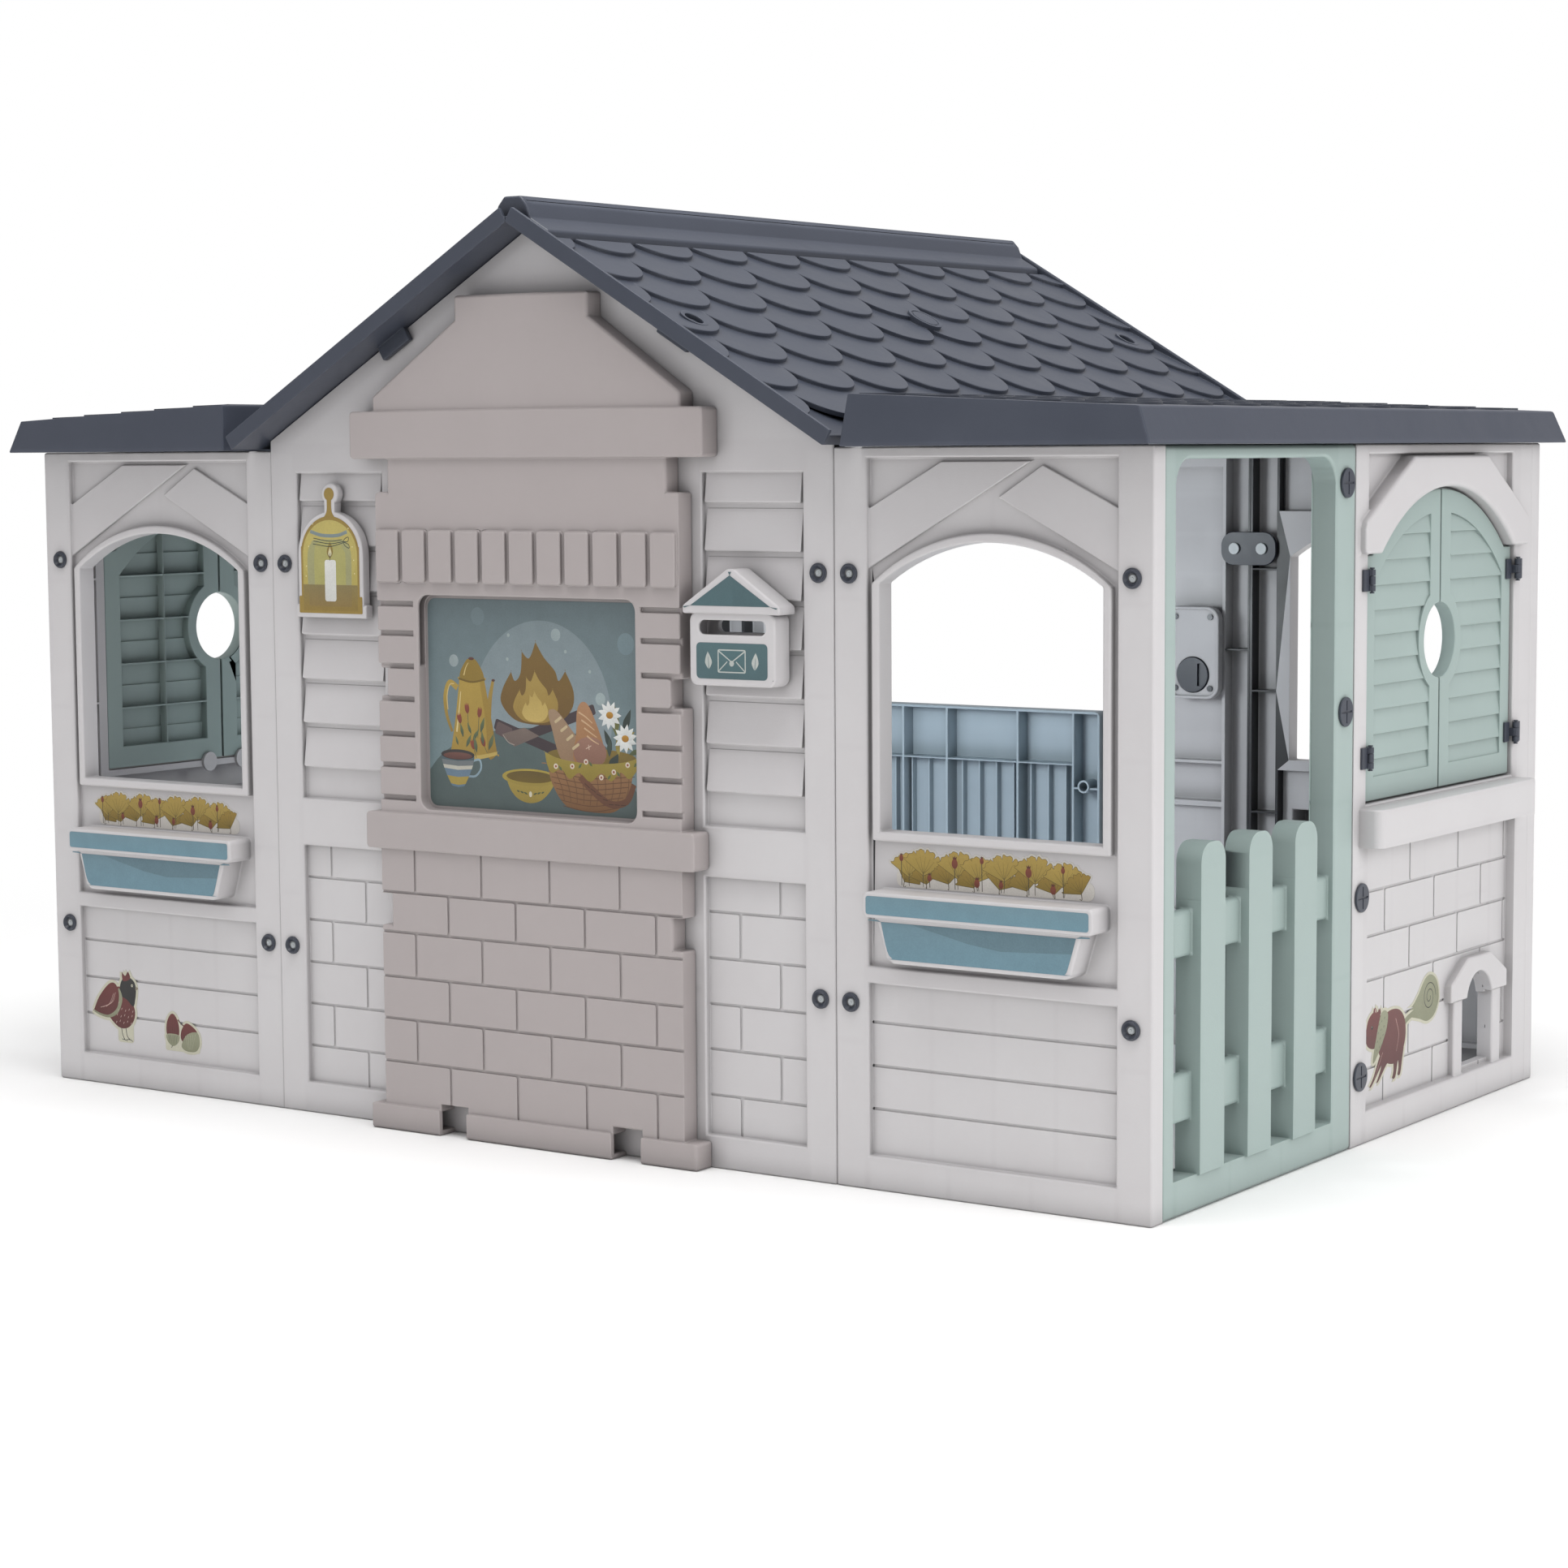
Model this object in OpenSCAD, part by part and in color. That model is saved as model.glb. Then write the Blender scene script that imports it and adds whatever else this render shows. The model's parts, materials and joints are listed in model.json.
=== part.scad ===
// Plastic playhouse for toddlers: moulded wall panels, fireplace front, tiled roof, swinging shutters.
// Millimetres. X runs along the long front, -Y is the front, Z is up.
// The origin is on the ground under the middle of the house.

/* [House] */
// Length of the house over its front walls
house_l = 1615; // [1560:5:1680]
// Depth of the house over its end walls
house_d = 1024; // [1000:2:1060]
// Height of the straight walls
wall_h = 815; // [810:1:840]
// Half width of the gable wall in the middle
gable_half = 413; // [405:1:420]
// Pitch of the main roof in degrees
roof_pitch = 30.6; // [30:0.1:31]

/* [Panels] */
// Thickness of a wall panel over its ribs
panel_t = 24; // [22:1:28]
// Thickness of the moulded skin
skin = 3.2; // [3:0.1:4]
// Depth of the sunk fields in a front panel
recess = 8; // [6:0.5:9]
// Thickness of a stiffening rib
rib = 2.5; // [2.5:0.5:4]
// Width and depth of a moulded joint line between bricks or boards
joint_w = 3; // [2:0.5:4]

/* [Side windows] */
// Width of the arched window in a side panel
window_w = 276; // [240:2:284]
// Height of its sill above the ground
window_z = 398; // [392:1:410]
// Height where its arch begins
window_spring = 668; // [640:1:680]
// Rise of its arch
window_rise = 45; // [30:1:48]

/* [Shutters] */
// Width of one shutter leaf
leaf_w = 212.5; // [205:0.5:213]
// Height of the bottom edge of a leaf
leaf_z = 401; // [400:0.5:404]
// Height of the square shoulder of a leaf
leaf_shoulder = 687; // [680:0.5:687.5]
// Thickness of a leaf
leaf_t = 18; // [14:1:18]
// Radius of the round hole where the leaves meet
porthole_r = 45; // [35:1:50]
// Number of slats in one leaf
slat_count = 11; // [8:1:13]

/* [Fence] */
// Width of one picket in the door frame
picket_w = 56; // [48:1:60]
// Height of the pickets
picket_h = 395; // [360:1:420]

/* [Roof] */
// How far the main roof stands out past the front wall
roof_over = 50; // [45:1:55]
// Thickness of the roof sheet
sheet_t = 6.2; // [6.2:0.1:7]
// How far the lower edge of a tile stands up
tile_lift = 10; // [8:0.5:10]
// Width of one roof tile
tile_w = 113.3; // [110:0.1:114]
// Distance between two rows of tiles
tile_row = 61.7; // [60:0.1:62]

/* [Hinges] */
// Height of a hinge
hinge_h = 25; // [22:1:28]
// Radius of a hinge knuckle
knuckle_r = 4; // [3.5:0.1:4]
// Radius of a hinge pin
pin_r = 1.6; // [1.2:0.1:2]
// Running clearance of a pin in its knuckles
pin_play = 0.06; // [0.02:0.01:0.1]

/* [Hidden] */
$fn = 48;

half_l = house_l / 2;
half_d = house_d / 2;
slack = 0.3;

wall_grey = [0.80, 0.79, 0.79];
taupe = [0.69, 0.66, 0.65];
slate = [0.26, 0.28, 0.32];
sage = [0.68, 0.77, 0.75];
haze_blue = [0.60, 0.68, 0.74];
dark = [0.22, 0.24, 0.28];
pale = [0.85, 0.85, 0.86];
ochre = [0.70, 0.58, 0.24];
teal = [0.31, 0.41, 0.43];

side_w = half_l - gable_half;
side_mid = side_w / 2;
field_x0 = 43;
field_x1 = side_w - 43;
rail_z0 = 230;
rail_z1 = 249;
foot_h = 38;
head_h = 12;
course = [83, 135.5, 187.5, 240, 293];

bolt_z = [207, 678];
bolt_r = 4.5;
bolt_bore_r = 4.8;
bolt_side = 20;
bolt_corner = 25;

end_y0 = -half_d + panel_t;
door_split = -30;
door_w = door_split - end_y0;
door_t = 30;
door_x0 = 26;
door_x1 = door_w - 52;
door_top = 800;
picket_front = 4;
picket_pitch = 2 * picket_w;
picket_mid = (door_x0 + door_x1) / 2;
fence_rails = [[98, 150], [275, 325]];

shutter_w = -door_split - end_y0;
shutter_mid = 250;
opening_half = leaf_w + 3;
soffit_r = 290;
soffit_z = 474;
soffit_half = 197;
leaf_gap = 1.5;
leaf_front = 5;
porthole_z = 580;
ring_w = 17;
sill_z = [351, 395.5];
sill_out = 30;
brick_deep = 12;
pet_mid = 376;
pet_half = 46;
hinge_out = 4.5;
hinge_z = [441, 646];
half_door_z = [120, 370];
half_door_x = 190;
half_door_top = 452;
threshold = 40;
entry_half = 195;
entry_top = 790;

roof_tan = tan(roof_pitch);
roof_cos = cos(roof_pitch);
tile_l = 116;
gable_apex = wall_h + 12.7 + gable_half * roof_tan;
ridge_z = gable_apex + slack + sheet_t / roof_cos;
roof_y = half_d + roof_over;
slope_l = 506;
rake_h = 13;
wing_x0 = gable_half + 36;
wing_over = 18.5;
wing_y = roof_y - 5;
wing_top_in = 872;
wing_top_out = 855;

screw_z = [82, 292, 511, 771];
plate_w = 80;
plate_h = 44;
box_x = 334;
box_z = 538;

// ---- outlines ----------------------------------------------------------------------------------

// Draws an outline that is given in X and Z as a plate from y = y0 to y = y1.
module plate(y0, y1) {
    translate([0, y1, 0]) rotate([90, 0, 0]) linear_extrude(y1 - y0) children();
}

module block(x0, x1, y0, y1, z0, z1) {
    translate([x0, y0, z0]) cube([x1 - x0, y1 - y0, z1 - z0]);
}

module rounded(x0, x1, z0, z1, r) {
    translate([x0 + r, z0]) square([x1 - x0 - 2 * r, z1 - z0]);
    translate([x0, z0 + r]) square([x1 - x0, z1 - z0 - 2 * r]);
    for (x = [x0 + r, x1 - r], z = [z0 + r, z1 - r]) translate([x, z]) circle(r);
}

// A segment arch on two straight sides, centred on x = 0.
module arch(w, z0, spring, rise) {
    r = (w * w / 4 + rise * rise) / (2 * rise);
    translate([-w / 2, z0]) square([w, spring - z0 + 0.01]);
    intersection() {
        translate([0, spring + rise - r]) circle(r, $fn = 96);
        translate([-w / 2, spring]) square([w, rise + 1]);
    }
}

// A round hole through a panel, from y = y0 to y = y1.
module bore(x, z, r, y0, y1) {
    translate([x, y1, z]) rotate([90, 0, 0]) cylinder(r = r, h = y1 - y0);
}

// Pockets open to the inside of the house, in nx columns and nz rows with ribs between them.
module pockets(x0, x1, z0, z1, nx, nz, front, depth = panel_t) {
    dx = (x1 - x0 + rib) / nx;
    dz = (z1 - z0 + rib) / nz;
    for (i = [0 : nx - 1], k = [0 : nz - 1]) {
        px = x0 + i * dx;
        pz = z0 + k * dz;
        block(px, px + dx - rib, front, depth + 1, pz, pz + dz - rib);
    }
}

// Level joint lines cut into a face at depth y.
module level_joints(x0, x1, y, heights) {
    for (z = heights) block(x0, x1, y - 1, y + 2, z - joint_w / 2, z + joint_w / 2);
}

// Upright joints of a brick bond: every other course is shifted by half a brick.
module upright_joints(first, pitch, x_min, x_max, y, heights) {
    for (k = [0 : len(heights) - 2]) {
        shift = first + (k % 2) * pitch / 2;
        for (x = [shift : pitch : x_max]) {
            if (x > x_min) {
                block(x - joint_w / 2, x + joint_w / 2, y - 1, y + 2, heights[k], heights[k + 1]);
            }
        }
    }
}

// ---- places ------------------------------------------------------------------------------------

// A panel is drawn with its outer face on y = 0, its inner side at +y and its left edge at x = 0.
module on_front(x0) { translate([x0, -half_d, 0]) children(); }
module on_right(y0) { translate([half_l, y0, 0]) rotate(90) children(); }
module opposite() { rotate(180) children(); }

// ---- side panels with an arched window and a planter -------------------------------------------

module window_outline(grow) {
    translate([side_mid, 0]) {
        arch(window_w + 2 * grow, window_z - grow, window_spring, window_rise + grow);
    }
}

module window_band() {
    plate(-2, panel_t) {
        window_outline(10);
    }
}

// Two crossing boards over the window, like a timber gable.
module gable_boards() {
    plate(4, recess + 1) {
        polygon([[field_x0, 684], [field_x0 + 203, 799], [field_x0 + 92, 799], [field_x0, 749]]);
        polygon([[field_x0 + 163, 761], [field_x1, 684], [field_x1, 750], [field_x0 + 217, 795]]);
    }
}

module planter(y_back) {
    plate(-30, y_back) rounded(side_mid - 143, side_mid + 143, 307, 335, 6);
    plate(-26, y_back) {
        translate([side_mid, 0]) {
            polygon([[-128, 308], [-114, 262], [-108, 258], [108, 258], [114, 262], [128, 308]]);
        }
    }
}

module side_wall_pockets() {
    right = side_w - 39;
    for (x = [skin, right]) pockets(x, x + 35, skin, wall_h - skin, 1, 5, skin);
    pockets(field_x0, field_x1, skin, foot_h - skin, 3, 1, skin);
    pockets(field_x0, field_x1, foot_h + skin, rail_z0 - rib, 4, 2, recess + skin);
    pockets(field_x0, field_x1, rail_z1 + skin, window_z - 14, 4, 1, recess + skin);
    pockets(field_x0, field_x1, window_spring + window_rise + 15, wall_h - 16, 4, 1, recess + skin);
    block(side_mid - 138, side_mid + 138, -26, panel_t + 1, 311, 331);
    block(side_mid - 106, side_mid + 106, -22, panel_t + 1, 262, 307.5);
}

module side_wall(corner_left) {
    bolts = corner_left ? [bolt_corner, side_w - bolt_side] : [bolt_side, side_w - bolt_corner];
    color(wall_grey) difference() {
        union() {
            difference() {
                block(0, side_w, 0, panel_t, 0, wall_h);
                block(field_x0, field_x1, -1, recess, rail_z1, wall_h - head_h);
                block(field_x0, field_x1, -1, recess, foot_h, rail_z0);
                level_joints(field_x0, field_x1, recess, [89.5, 137.5, 186]);
            }
            gable_boards();
            window_band();
            planter(recess + 1);
        }
        plate(-5, panel_t + 1) window_outline(0);
        difference() {
            side_wall_pockets();
            for (x = bolts, z = bolt_z) bore(x, z, 10, 0, panel_t);
        }
        for (x = bolts, z = bolt_z) bore(x, z, bolt_bore_r, -1, panel_t + 1);
    }
}

// ---- gable walls in the middle of the front and the back ---------------------------------------

module gable_outline() {
    edge = gable_apex - gable_half * roof_tan;
    polygon([[-gable_half, 0], [gable_half, 0], [gable_half, edge], [0, gable_apex],
        [-gable_half, edge]]);
}

louver_x = [236, 372];
louver_z = [391, 788];
louver_pitch = 54;

// One sloping louver blade, thin at its top edge and proud at its bottom edge.
module blade(z) {
    translate([louver_x[0] + 3, 0, z]) rotate([90, 0, 90]) {
        linear_extrude(louver_x[1] - louver_x[0] - 6) {
            top = louver_pitch - 6;
            polygon([[0.5, 0], [recess + 1, 0], [recess + 1, top], [recess - 1, top]]);
        }
    }
}

module gable_field_cuts() {
    block(louver_x[0], louver_x[1], -1, recess, louver_z[0], louver_z[1]);
    block(louver_x[0], louver_x[1], -1, recess, foot_h, 333);
    level_joints(louver_x[0], louver_x[1], recess, course);
    rows = concat([foot_h], course, [333]);
    upright_joints(279, 55 * 2, louver_x[0] + 5, louver_x[1] - 5, recess, rows);
}

module gable_blades() {
    for (k = [0 : 6]) blade(430 + k * louver_pitch);
}

module gable_pockets() {
    for (m = [0, 1]) mirror([m, 0, 0]) {
        pockets(377, gable_half - skin, skin, wall_h - skin, 1, 3, skin);
        pockets(louver_x[0], louver_x[1], foot_h + skin, 330, 1, 2, recess + skin);
        pockets(louver_x[0], louver_x[1], 392, 786, 1, 2, recess + skin);
        pockets(louver_x[0], louver_x[1], 337, 388, 1, 1, skin);
    }
    plate(skin, panel_t + 1) {
        polygon([[-384, wall_h + 8], [384, wall_h + 8], [14, gable_apex - 22], [-14, gable_apex - 22]]);
    }
}

module gable_wall(entry) {
    bolt_x = gable_half - bolt_side;
    color(wall_grey) difference() {
        union() {
            difference() {
                plate(0, panel_t) gable_outline();
                for (m = [0, 1]) mirror([m, 0, 0]) gable_field_cuts();
            }
            for (m = [0, 1]) mirror([m, 0, 0]) gable_blades();
        }
        difference() {
            gable_pockets();
            for (x = [-bolt_x, bolt_x], z = bolt_z) bore(x, z, 10, 0, panel_t);
        }
        if (entry) {
            plate(-1, panel_t + 1) rounded(-entry_half, entry_half, threshold, entry_top, 35);
            block(-entry_half, entry_half, -1, panel_t + 1, threshold, 200);
        } else {
            pockets(-232, 232, skin, wall_h - skin, 3, 4, skin);
            plate(-1, panel_t + 1) rounded(mail_x - 42, mail_x + 42, 610, 624, 6);
        }
        for (x = [-bolt_x, bolt_x], z = bolt_z) bore(x, z, bolt_bore_r, -1, panel_t + 1);
    }
}

// ---- door frame with a fixed picket fence ------------------------------------------------------

module picket(x) {
    plate(-picket_front, door_t - picket_front) {
        rounded(x - picket_w / 2, x + picket_w / 2, picket_h - 80, picket_h, 22);
        translate([x - picket_w / 2, threshold - 1]) square([picket_w, picket_h - 60 - threshold]);
    }
}

module door_frame() {
    pickets = [for (k = [-1 : 1]) picket_mid + k * picket_pitch];
    color(sage) difference() {
        union() {
            difference() {
                block(0, door_w, 0, door_t, 0, wall_h);
                plate(-1, door_t + 1) rounded(door_x0, door_x1, threshold, door_top, 30);
                block(door_x0, door_x1, -1, door_t + 1, threshold, 200);
            }
            for (x = pickets) picket(x);
            for (z = fence_rails) block(door_x0 - 1, door_x1 + 1, 7, 22, z[0], z[1]);
        }
        pockets(skin, door_x0 - skin, skin, wall_h - skin, 1, 4, skin, door_t);
        difference() {
            pockets(door_x1 + skin, door_w - skin, skin, wall_h - skin, 1, 4, skin, door_t);
            for (z = [screw_z[2], screw_z[3]]) bore(door_w - 26, z, 12, 0, door_t);
        }
        pockets(door_x0 + 4, door_x1 - 4, skin, threshold - skin, 3, 1, skin, door_t);
        for (x = pickets) block(x - 24, x + 24, 0, door_t, threshold + 4, picket_h - 26);
        for (z = [screw_z[2], screw_z[3]]) bore(door_w - 26, z, bolt_bore_r, -1, door_t + 1);
    }
}

// ---- end wall with the shuttered window, sill, brick field and pet door ------------------------

module shutter_opening() {
    translate([-opening_half, leaf_z - 2]) square([2 * opening_half, leaf_shoulder - leaf_z + 4]);
    soffit();
}

module soffit() {
    intersection() {
        translate([0, soffit_z]) circle(soffit_r, $fn = 96);
        translate([-soffit_half, 600]) square([2 * soffit_half, 200]);
    }
}

module hood() {
    plate(-10, brick_deep) {
        difference() {
            translate([shutter_mid, 0]) {
                polygon([[-240, 689], [-240, 724], [-108, 801], [108, 801], [240, 724], [240, 689]]);
            }
            translate([shutter_mid, 0]) soffit();
        }
    }
}

module sill() {
    translate([0, 0, sill_z[0]]) linear_extrude(sill_z[1] - sill_z[0]) {
        rounded(shutter_mid - 235, shutter_mid + 228, -sill_out, recess + 2, 12);
    }
}

module pet_door() {
    translate([pet_mid, 0, 0]) {
        plate(4, brick_deep + 1) {
            for (x = [-72, pet_half]) translate([x, foot_h]) square([72 - pet_half, 100]);
        }
        plate(1, brick_deep + 1) {
            polygon([[-86, 131], [-86, 153], [-36, 181], [36, 181], [86, 153], [86, 131]]);
        }
    }
}

module pet_outline() {
    translate([pet_mid, 0]) {
        translate([-pet_half, foot_h + 6]) square([2 * pet_half, 77]);
        translate([0, foot_h + 83]) circle(pet_half - 6);
        translate([-pet_half, foot_h + 20]) square([2 * pet_half, 70]);
    }
}

module shutter_wall_pockets() {
    floor_y = brick_deep + skin;
    pockets(skin, 30, skin, wall_h - skin, 1, 5, skin);
    pockets(shutter_w - 38, shutter_w - skin, skin, wall_h - skin, 1, 5, skin);
    pockets(41, 474, skin, foot_h - skin, 4, 1, skin);
    pockets(41, 322, foot_h + skin, 345, 3, 3, floor_y);
    pockets(330, 422, 170, 345, 1, 2, floor_y);
    pockets(430, 474, foot_h + skin, 345, 1, 3, floor_y);
    pockets(40, 460, 770, wall_h - skin, 4, 1, 15);
    block(shutter_mid - 228, shutter_mid + 220, -sill_out + skin, panel_t + 1, 355, 391);
}

module shutter_wall() {
    screw_x = 22;
    color(wall_grey) difference() {
        union() {
            difference() {
                block(0, shutter_w, 0, panel_t, 0, wall_h);
                block(41, 477, -1, brick_deep, foot_h, 352);
                block(36, 457, -1, 10, 700, wall_h - head_h);
                level_joints(41, 477, brick_deep, course);
                rows = concat([foot_h], course, [352]);
                upright_joints(115, 142, 50, 470, brick_deep, rows);
            }
            hood();
            sill();
            pet_door();
        }
        plate(-12, panel_t + 1) translate([shutter_mid, 0]) shutter_opening();
        plate(-1, panel_t + 1) pet_outline();
        difference() {
            shutter_wall_pockets();
            for (z = [screw_z[0], screw_z[1]]) bore(screw_x, z, 12, 0, panel_t);
        }
        for (z = [screw_z[0], screw_z[1]]) bore(screw_x, z, bolt_bore_r, -1, panel_t + 1);
    }
    // Two round stops behind the sill hold the leaves flush.
    color(wall_grey) for (x = [-34, 30]) {
        bore(shutter_mid + x, leaf_z - 4, 13, leaf_front + leaf_t + 0.6, panel_t + 4);
    }
}

// ---- shutter leaves ----------------------------------------------------------------------------

// Outline of the leaf on the +x side of the window's middle.
module leaf_outline(inset) {
    intersection() {
        union() {
            translate([leaf_gap, leaf_z]) square([leaf_w, leaf_shoulder - leaf_z]);
            intersection() {
                translate([0, soffit_z]) circle(soffit_r - 2.5, $fn = 96);
                translate([leaf_gap, 600]) square([soffit_half - leaf_gap - 3, 200]);
            }
        }
        translate([leaf_gap + inset, leaf_z + inset]) square([leaf_w - 2 * inset, 400]);
        translate([0, soffit_z]) circle(inset > 0 ? soffit_r - 2.5 - inset : 2 * soffit_r, $fn = 96);
    }
}

slat_z0 = leaf_z + 19;
slat_pitch = 318 / slat_count;
slat_x = [30, leaf_w - 27];

module slat(z) {
    translate([slat_x[0] - 1, 0, z]) rotate([90, 0, 90]) linear_extrude(slat_x[1] - slat_x[0] + 2) {
        polygon([[6, 0], [10, 0], [13, slat_pitch + 1.5], [9.5, slat_pitch + 1.5]]);
    }
}

module leaf() {
    y0 = leaf_front;
    y1 = leaf_front + leaf_t;
    ring_r = porthole_r + ring_w;
    color(sage) difference() {
        union() {
            difference() {
                plate(y0, y1) leaf_outline(0);
                plate(y0 - 1, y1 + 1) {
                    difference() {
                        leaf_outline(28);
                        translate([0, porthole_z]) circle(ring_r);
                    }
                }
            }
            intersection() {
                plate(y0, y1) leaf_outline(26);
                union() {
                    for (k = [0 : slat_count - 1]) slat(slat_z0 + k * slat_pitch);
                }
            }
            intersection() {
                plate(y0, y1) leaf_outline(26);
                union() {
                    block(104, 107, 12, y1, leaf_z, 760);
                    for (k = [2 : 2 : slat_count - 1]) {
                        z = slat_z0 + k * slat_pitch;
                        block(slat_x[0] - 2, slat_x[1] + 2, 10, y1, z, z + 2.5);
                    }
                }
            }
        }
        bore(0, porthole_z, porthole_r, y0 - 1, y1 + 1);
    }
}

// Sets the leaf on the +x side (side = 1) or the -x side (side = -1) of the window's middle.
module in_window(side) {
    translate([shutter_mid, 0, 0]) mirror([side < 0 ? 1 : 0, 0, 0]) children();
}

// ---- hinges ------------------------------------------------------------------------------------

// The hinge stands at x = 0, y = -hinge_out with its fixed half on the +x side.
module knuckles(z0, z1, bore_r) {
    difference() {
        union() {
            translate([0, -hinge_out, z0]) cylinder(r = knuckle_r, h = z1 - z0);
            children();
        }
        translate([0, -hinge_out, z0 - 1]) cylinder(r = bore_r, h = z1 - z0 + 2);
    }
}

module bracket() {
    color(dark) union() {
        for (z = [[0, 7], [hinge_h - 7, hinge_h]]) {
            knuckles(z[0], z[1], pin_r + pin_play) block(0, 5, -hinge_out, 0, z[0], z[1]);
        }
        block(4.9, 18, -3, 0, 0, hinge_h);
    }
}

module leaf_strap() {
    color(dark) union() {
        knuckles(7.5, hinge_h - 7.5, pin_r + pin_play) {
            block(-5, 0, -hinge_out, leaf_front, 7.5, hinge_h - 7.5);
        }
        block(-18, -4.9, leaf_front - 3, leaf_front, 0, hinge_h);
    }
}

module hinge_pin() {
    color(dark) {
        translate([0, -hinge_out, -1.2]) cylinder(r = pin_r, h = hinge_h + 2.4);
        translate([0, -hinge_out, -2.4]) cylinder(r = pin_r + 1.2, h = 1.6);
        translate([0, -hinge_out, hinge_h + 0.8]) cylinder(r = pin_r + 1.2, h = 1.6);
    }
}

// The two hinges of one shutter leaf.
module on_leaf_hinges(side) {
    in_window(side) for (z = hinge_z) translate([leaf_gap + leaf_w + 0.75, 0, z]) children();
}

module on_right_window() { on_right(door_split) children(); }
module on_half_door_hinges() {
    opposite() on_front(0) for (z = half_door_z) translate([half_door_x + 1.5, 0, z]) children();
}

module all_hinges() {
    for (side = [-1, 1]) {
        on_right_window() on_leaf_hinges(side) children();
        opposite() on_right_window() on_leaf_hinges(side) children();
    }
    on_half_door_hinges() children();
}

// ---- half door in the back gable wall ----------------------------------------------------------

latch_x = -166;
latch_z = 348;

module half_door_cells(y1) {
    z0 = threshold + 8;
    z1 = half_door_top - 4;
    for (x = [[-186, -150], [-146, -61], [-57, 55], [59, 128], [132, 186]]) {
        low_top = x[0] < -150 ? latch_z - 4 : 376;
        block(x[0], x[1], leaf_front + skin, y1 + 1, z0, low_top);
        block(x[0], x[1], leaf_front + skin, y1 + 1, low_top + rib, z1);
    }
}

module half_door() {
    y1 = leaf_front + 28;
    z0 = threshold + 4;
    color(haze_blue) opposite() on_front(0) difference() {
        union() {
            difference() {
                plate(leaf_front, y1) rounded(-half_door_x, half_door_x, z0, half_door_top, 8);
                half_door_cells(y1);
            }
            bore(latch_x, latch_z, 9, leaf_front, y1 + 3);
            plate(leaf_front - 12, leaf_front + 1) rounded(-178, -138, 328, 368, 10);
            for (x = [-130 : 28 : 160]) block(x, x + rib, leaf_front, y1 - 14, z0, 376);
        }
        bore(latch_x, latch_z, 6, leaf_front + 6, y1 + 4);
        for (x = [-133 : 38 : 133]) {
            block(x - 1.5, x + 1.5, leaf_front - 1, leaf_front + 2, z0 + 22, half_door_top - 90);
        }
        block(-168, 168, leaf_front - 1, leaf_front + 2, half_door_top - 88, half_door_top - 85);
    }
}

// ---- fireplace ---------------------------------------------------------------------------------

hearth_z = [391, 645];
hearth_half = 160;
soldier_z = [660, 721];
mantel_z = [341, 385];
lintel_z = [805, 861];
base_half = 223;
jamb_half = 223;
chest_out = 26;
ledge_out = 30;
brick_lift = 5;
jamb_rows = [403, 442, 479, 521, 560, 599, 634];
base_rows = [31, 84, 136, 187, 241, 289, 341];

module fireplace_mass(shrink, out) {
    s = shrink;
    plate(-chest_out + out, 0) {
        polygon([[-jamb_half + s, 31 + s], [jamb_half - s, 31 + s], [jamb_half - s, 766],
            [205 - s, 766], [205 - s, 862], [-205 + s, 862], [-205 + s, 766], [-jamb_half + s, 766]]);
        polygon([[-226 + s, 861], [226 - s, 861], [226 - s, 878], [98 - s, 965], [98 - s, 993 - s],
            [-98 + s, 993 - s], [-98 + s, 965], [-226 + s, 878]]);
    }
    plate(-ledge_out + out, 0) {
        rounded(-259 + s, 259 - s, lintel_z[0] + s, lintel_z[1] - s, 5);
        rounded(-243 + s, 243 - s, mantel_z[0] + s, mantel_z[1] - s, 5);
        translate([-243 + s, s]) square([486 - 2 * s, 31 - s]);
    }
}

module base_joints() {
    y = -chest_out;
    for (z = [84, 136, 187, 241, 289]) {
        block(-base_half - 1, base_half + 1, y - 1, y + 2, z - joint_w / 2, z + joint_w / 2);
    }
    for (k = [0 : 5]) {
        shift = k % 2 == 0 ? -120 : -171;
        for (x = [shift : 102 : 190]) {
            block(x - joint_w / 2, x + joint_w / 2, y - 1, y + 2, base_rows[k], base_rows[k + 1]);
        }
    }
}

module jamb_joints() {
    for (m = [0, 1]) mirror([m, 0, 0]) {
        for (z = jamb_rows) {
            block(hearth_half + 8, jamb_half + 1, -chest_out - 1, -chest_out + 5, z - 3, z + 3);
        }
        block(jamb_half - 14, jamb_half + 1, -chest_out - 1, 1, 524, 557);
        block(jamb_half - 14, jamb_half + 1, -chest_out - 1, 1, 249, 287);
    }
}

module soldier_course() {
    pitch = 2 * jamb_half / 11;
    plate(-chest_out - brick_lift, -chest_out + 1) {
        for (k = [0 : 10]) {
            x = -jamb_half + (k + 0.5) * pitch;
            rounded(x - pitch / 2 + 3, x + pitch / 2 - 3, soldier_z[0], soldier_z[1], 3);
        }
    }
}

module fireplace() {
    color(taupe) on_front(0) translate([0, -slack, 0]) difference() {
        union() {
            difference() {
                fireplace_mass(0, 0);
                base_joints();
                jamb_joints();
                for (x = [[-136, -95], [121, 163]]) {
                    block(x[0], x[1], -ledge_out - 1, 1, -1, 38);
                }
            }
            soldier_course();
        }
        plate(-ledge_out - 1, -12) rounded(-hearth_half, hearth_half, hearth_z[0], hearth_z[1], 14);
        difference() {
            fireplace_shell();
            block(-300, 300, -12 - 1, 1, hearth_z[0] - 4, hearth_z[1] + 4);
        }
        block(-hearth_half, hearth_half, -12 + skin, 1, hearth_z[0], hearth_z[1]);
    }
}

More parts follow.
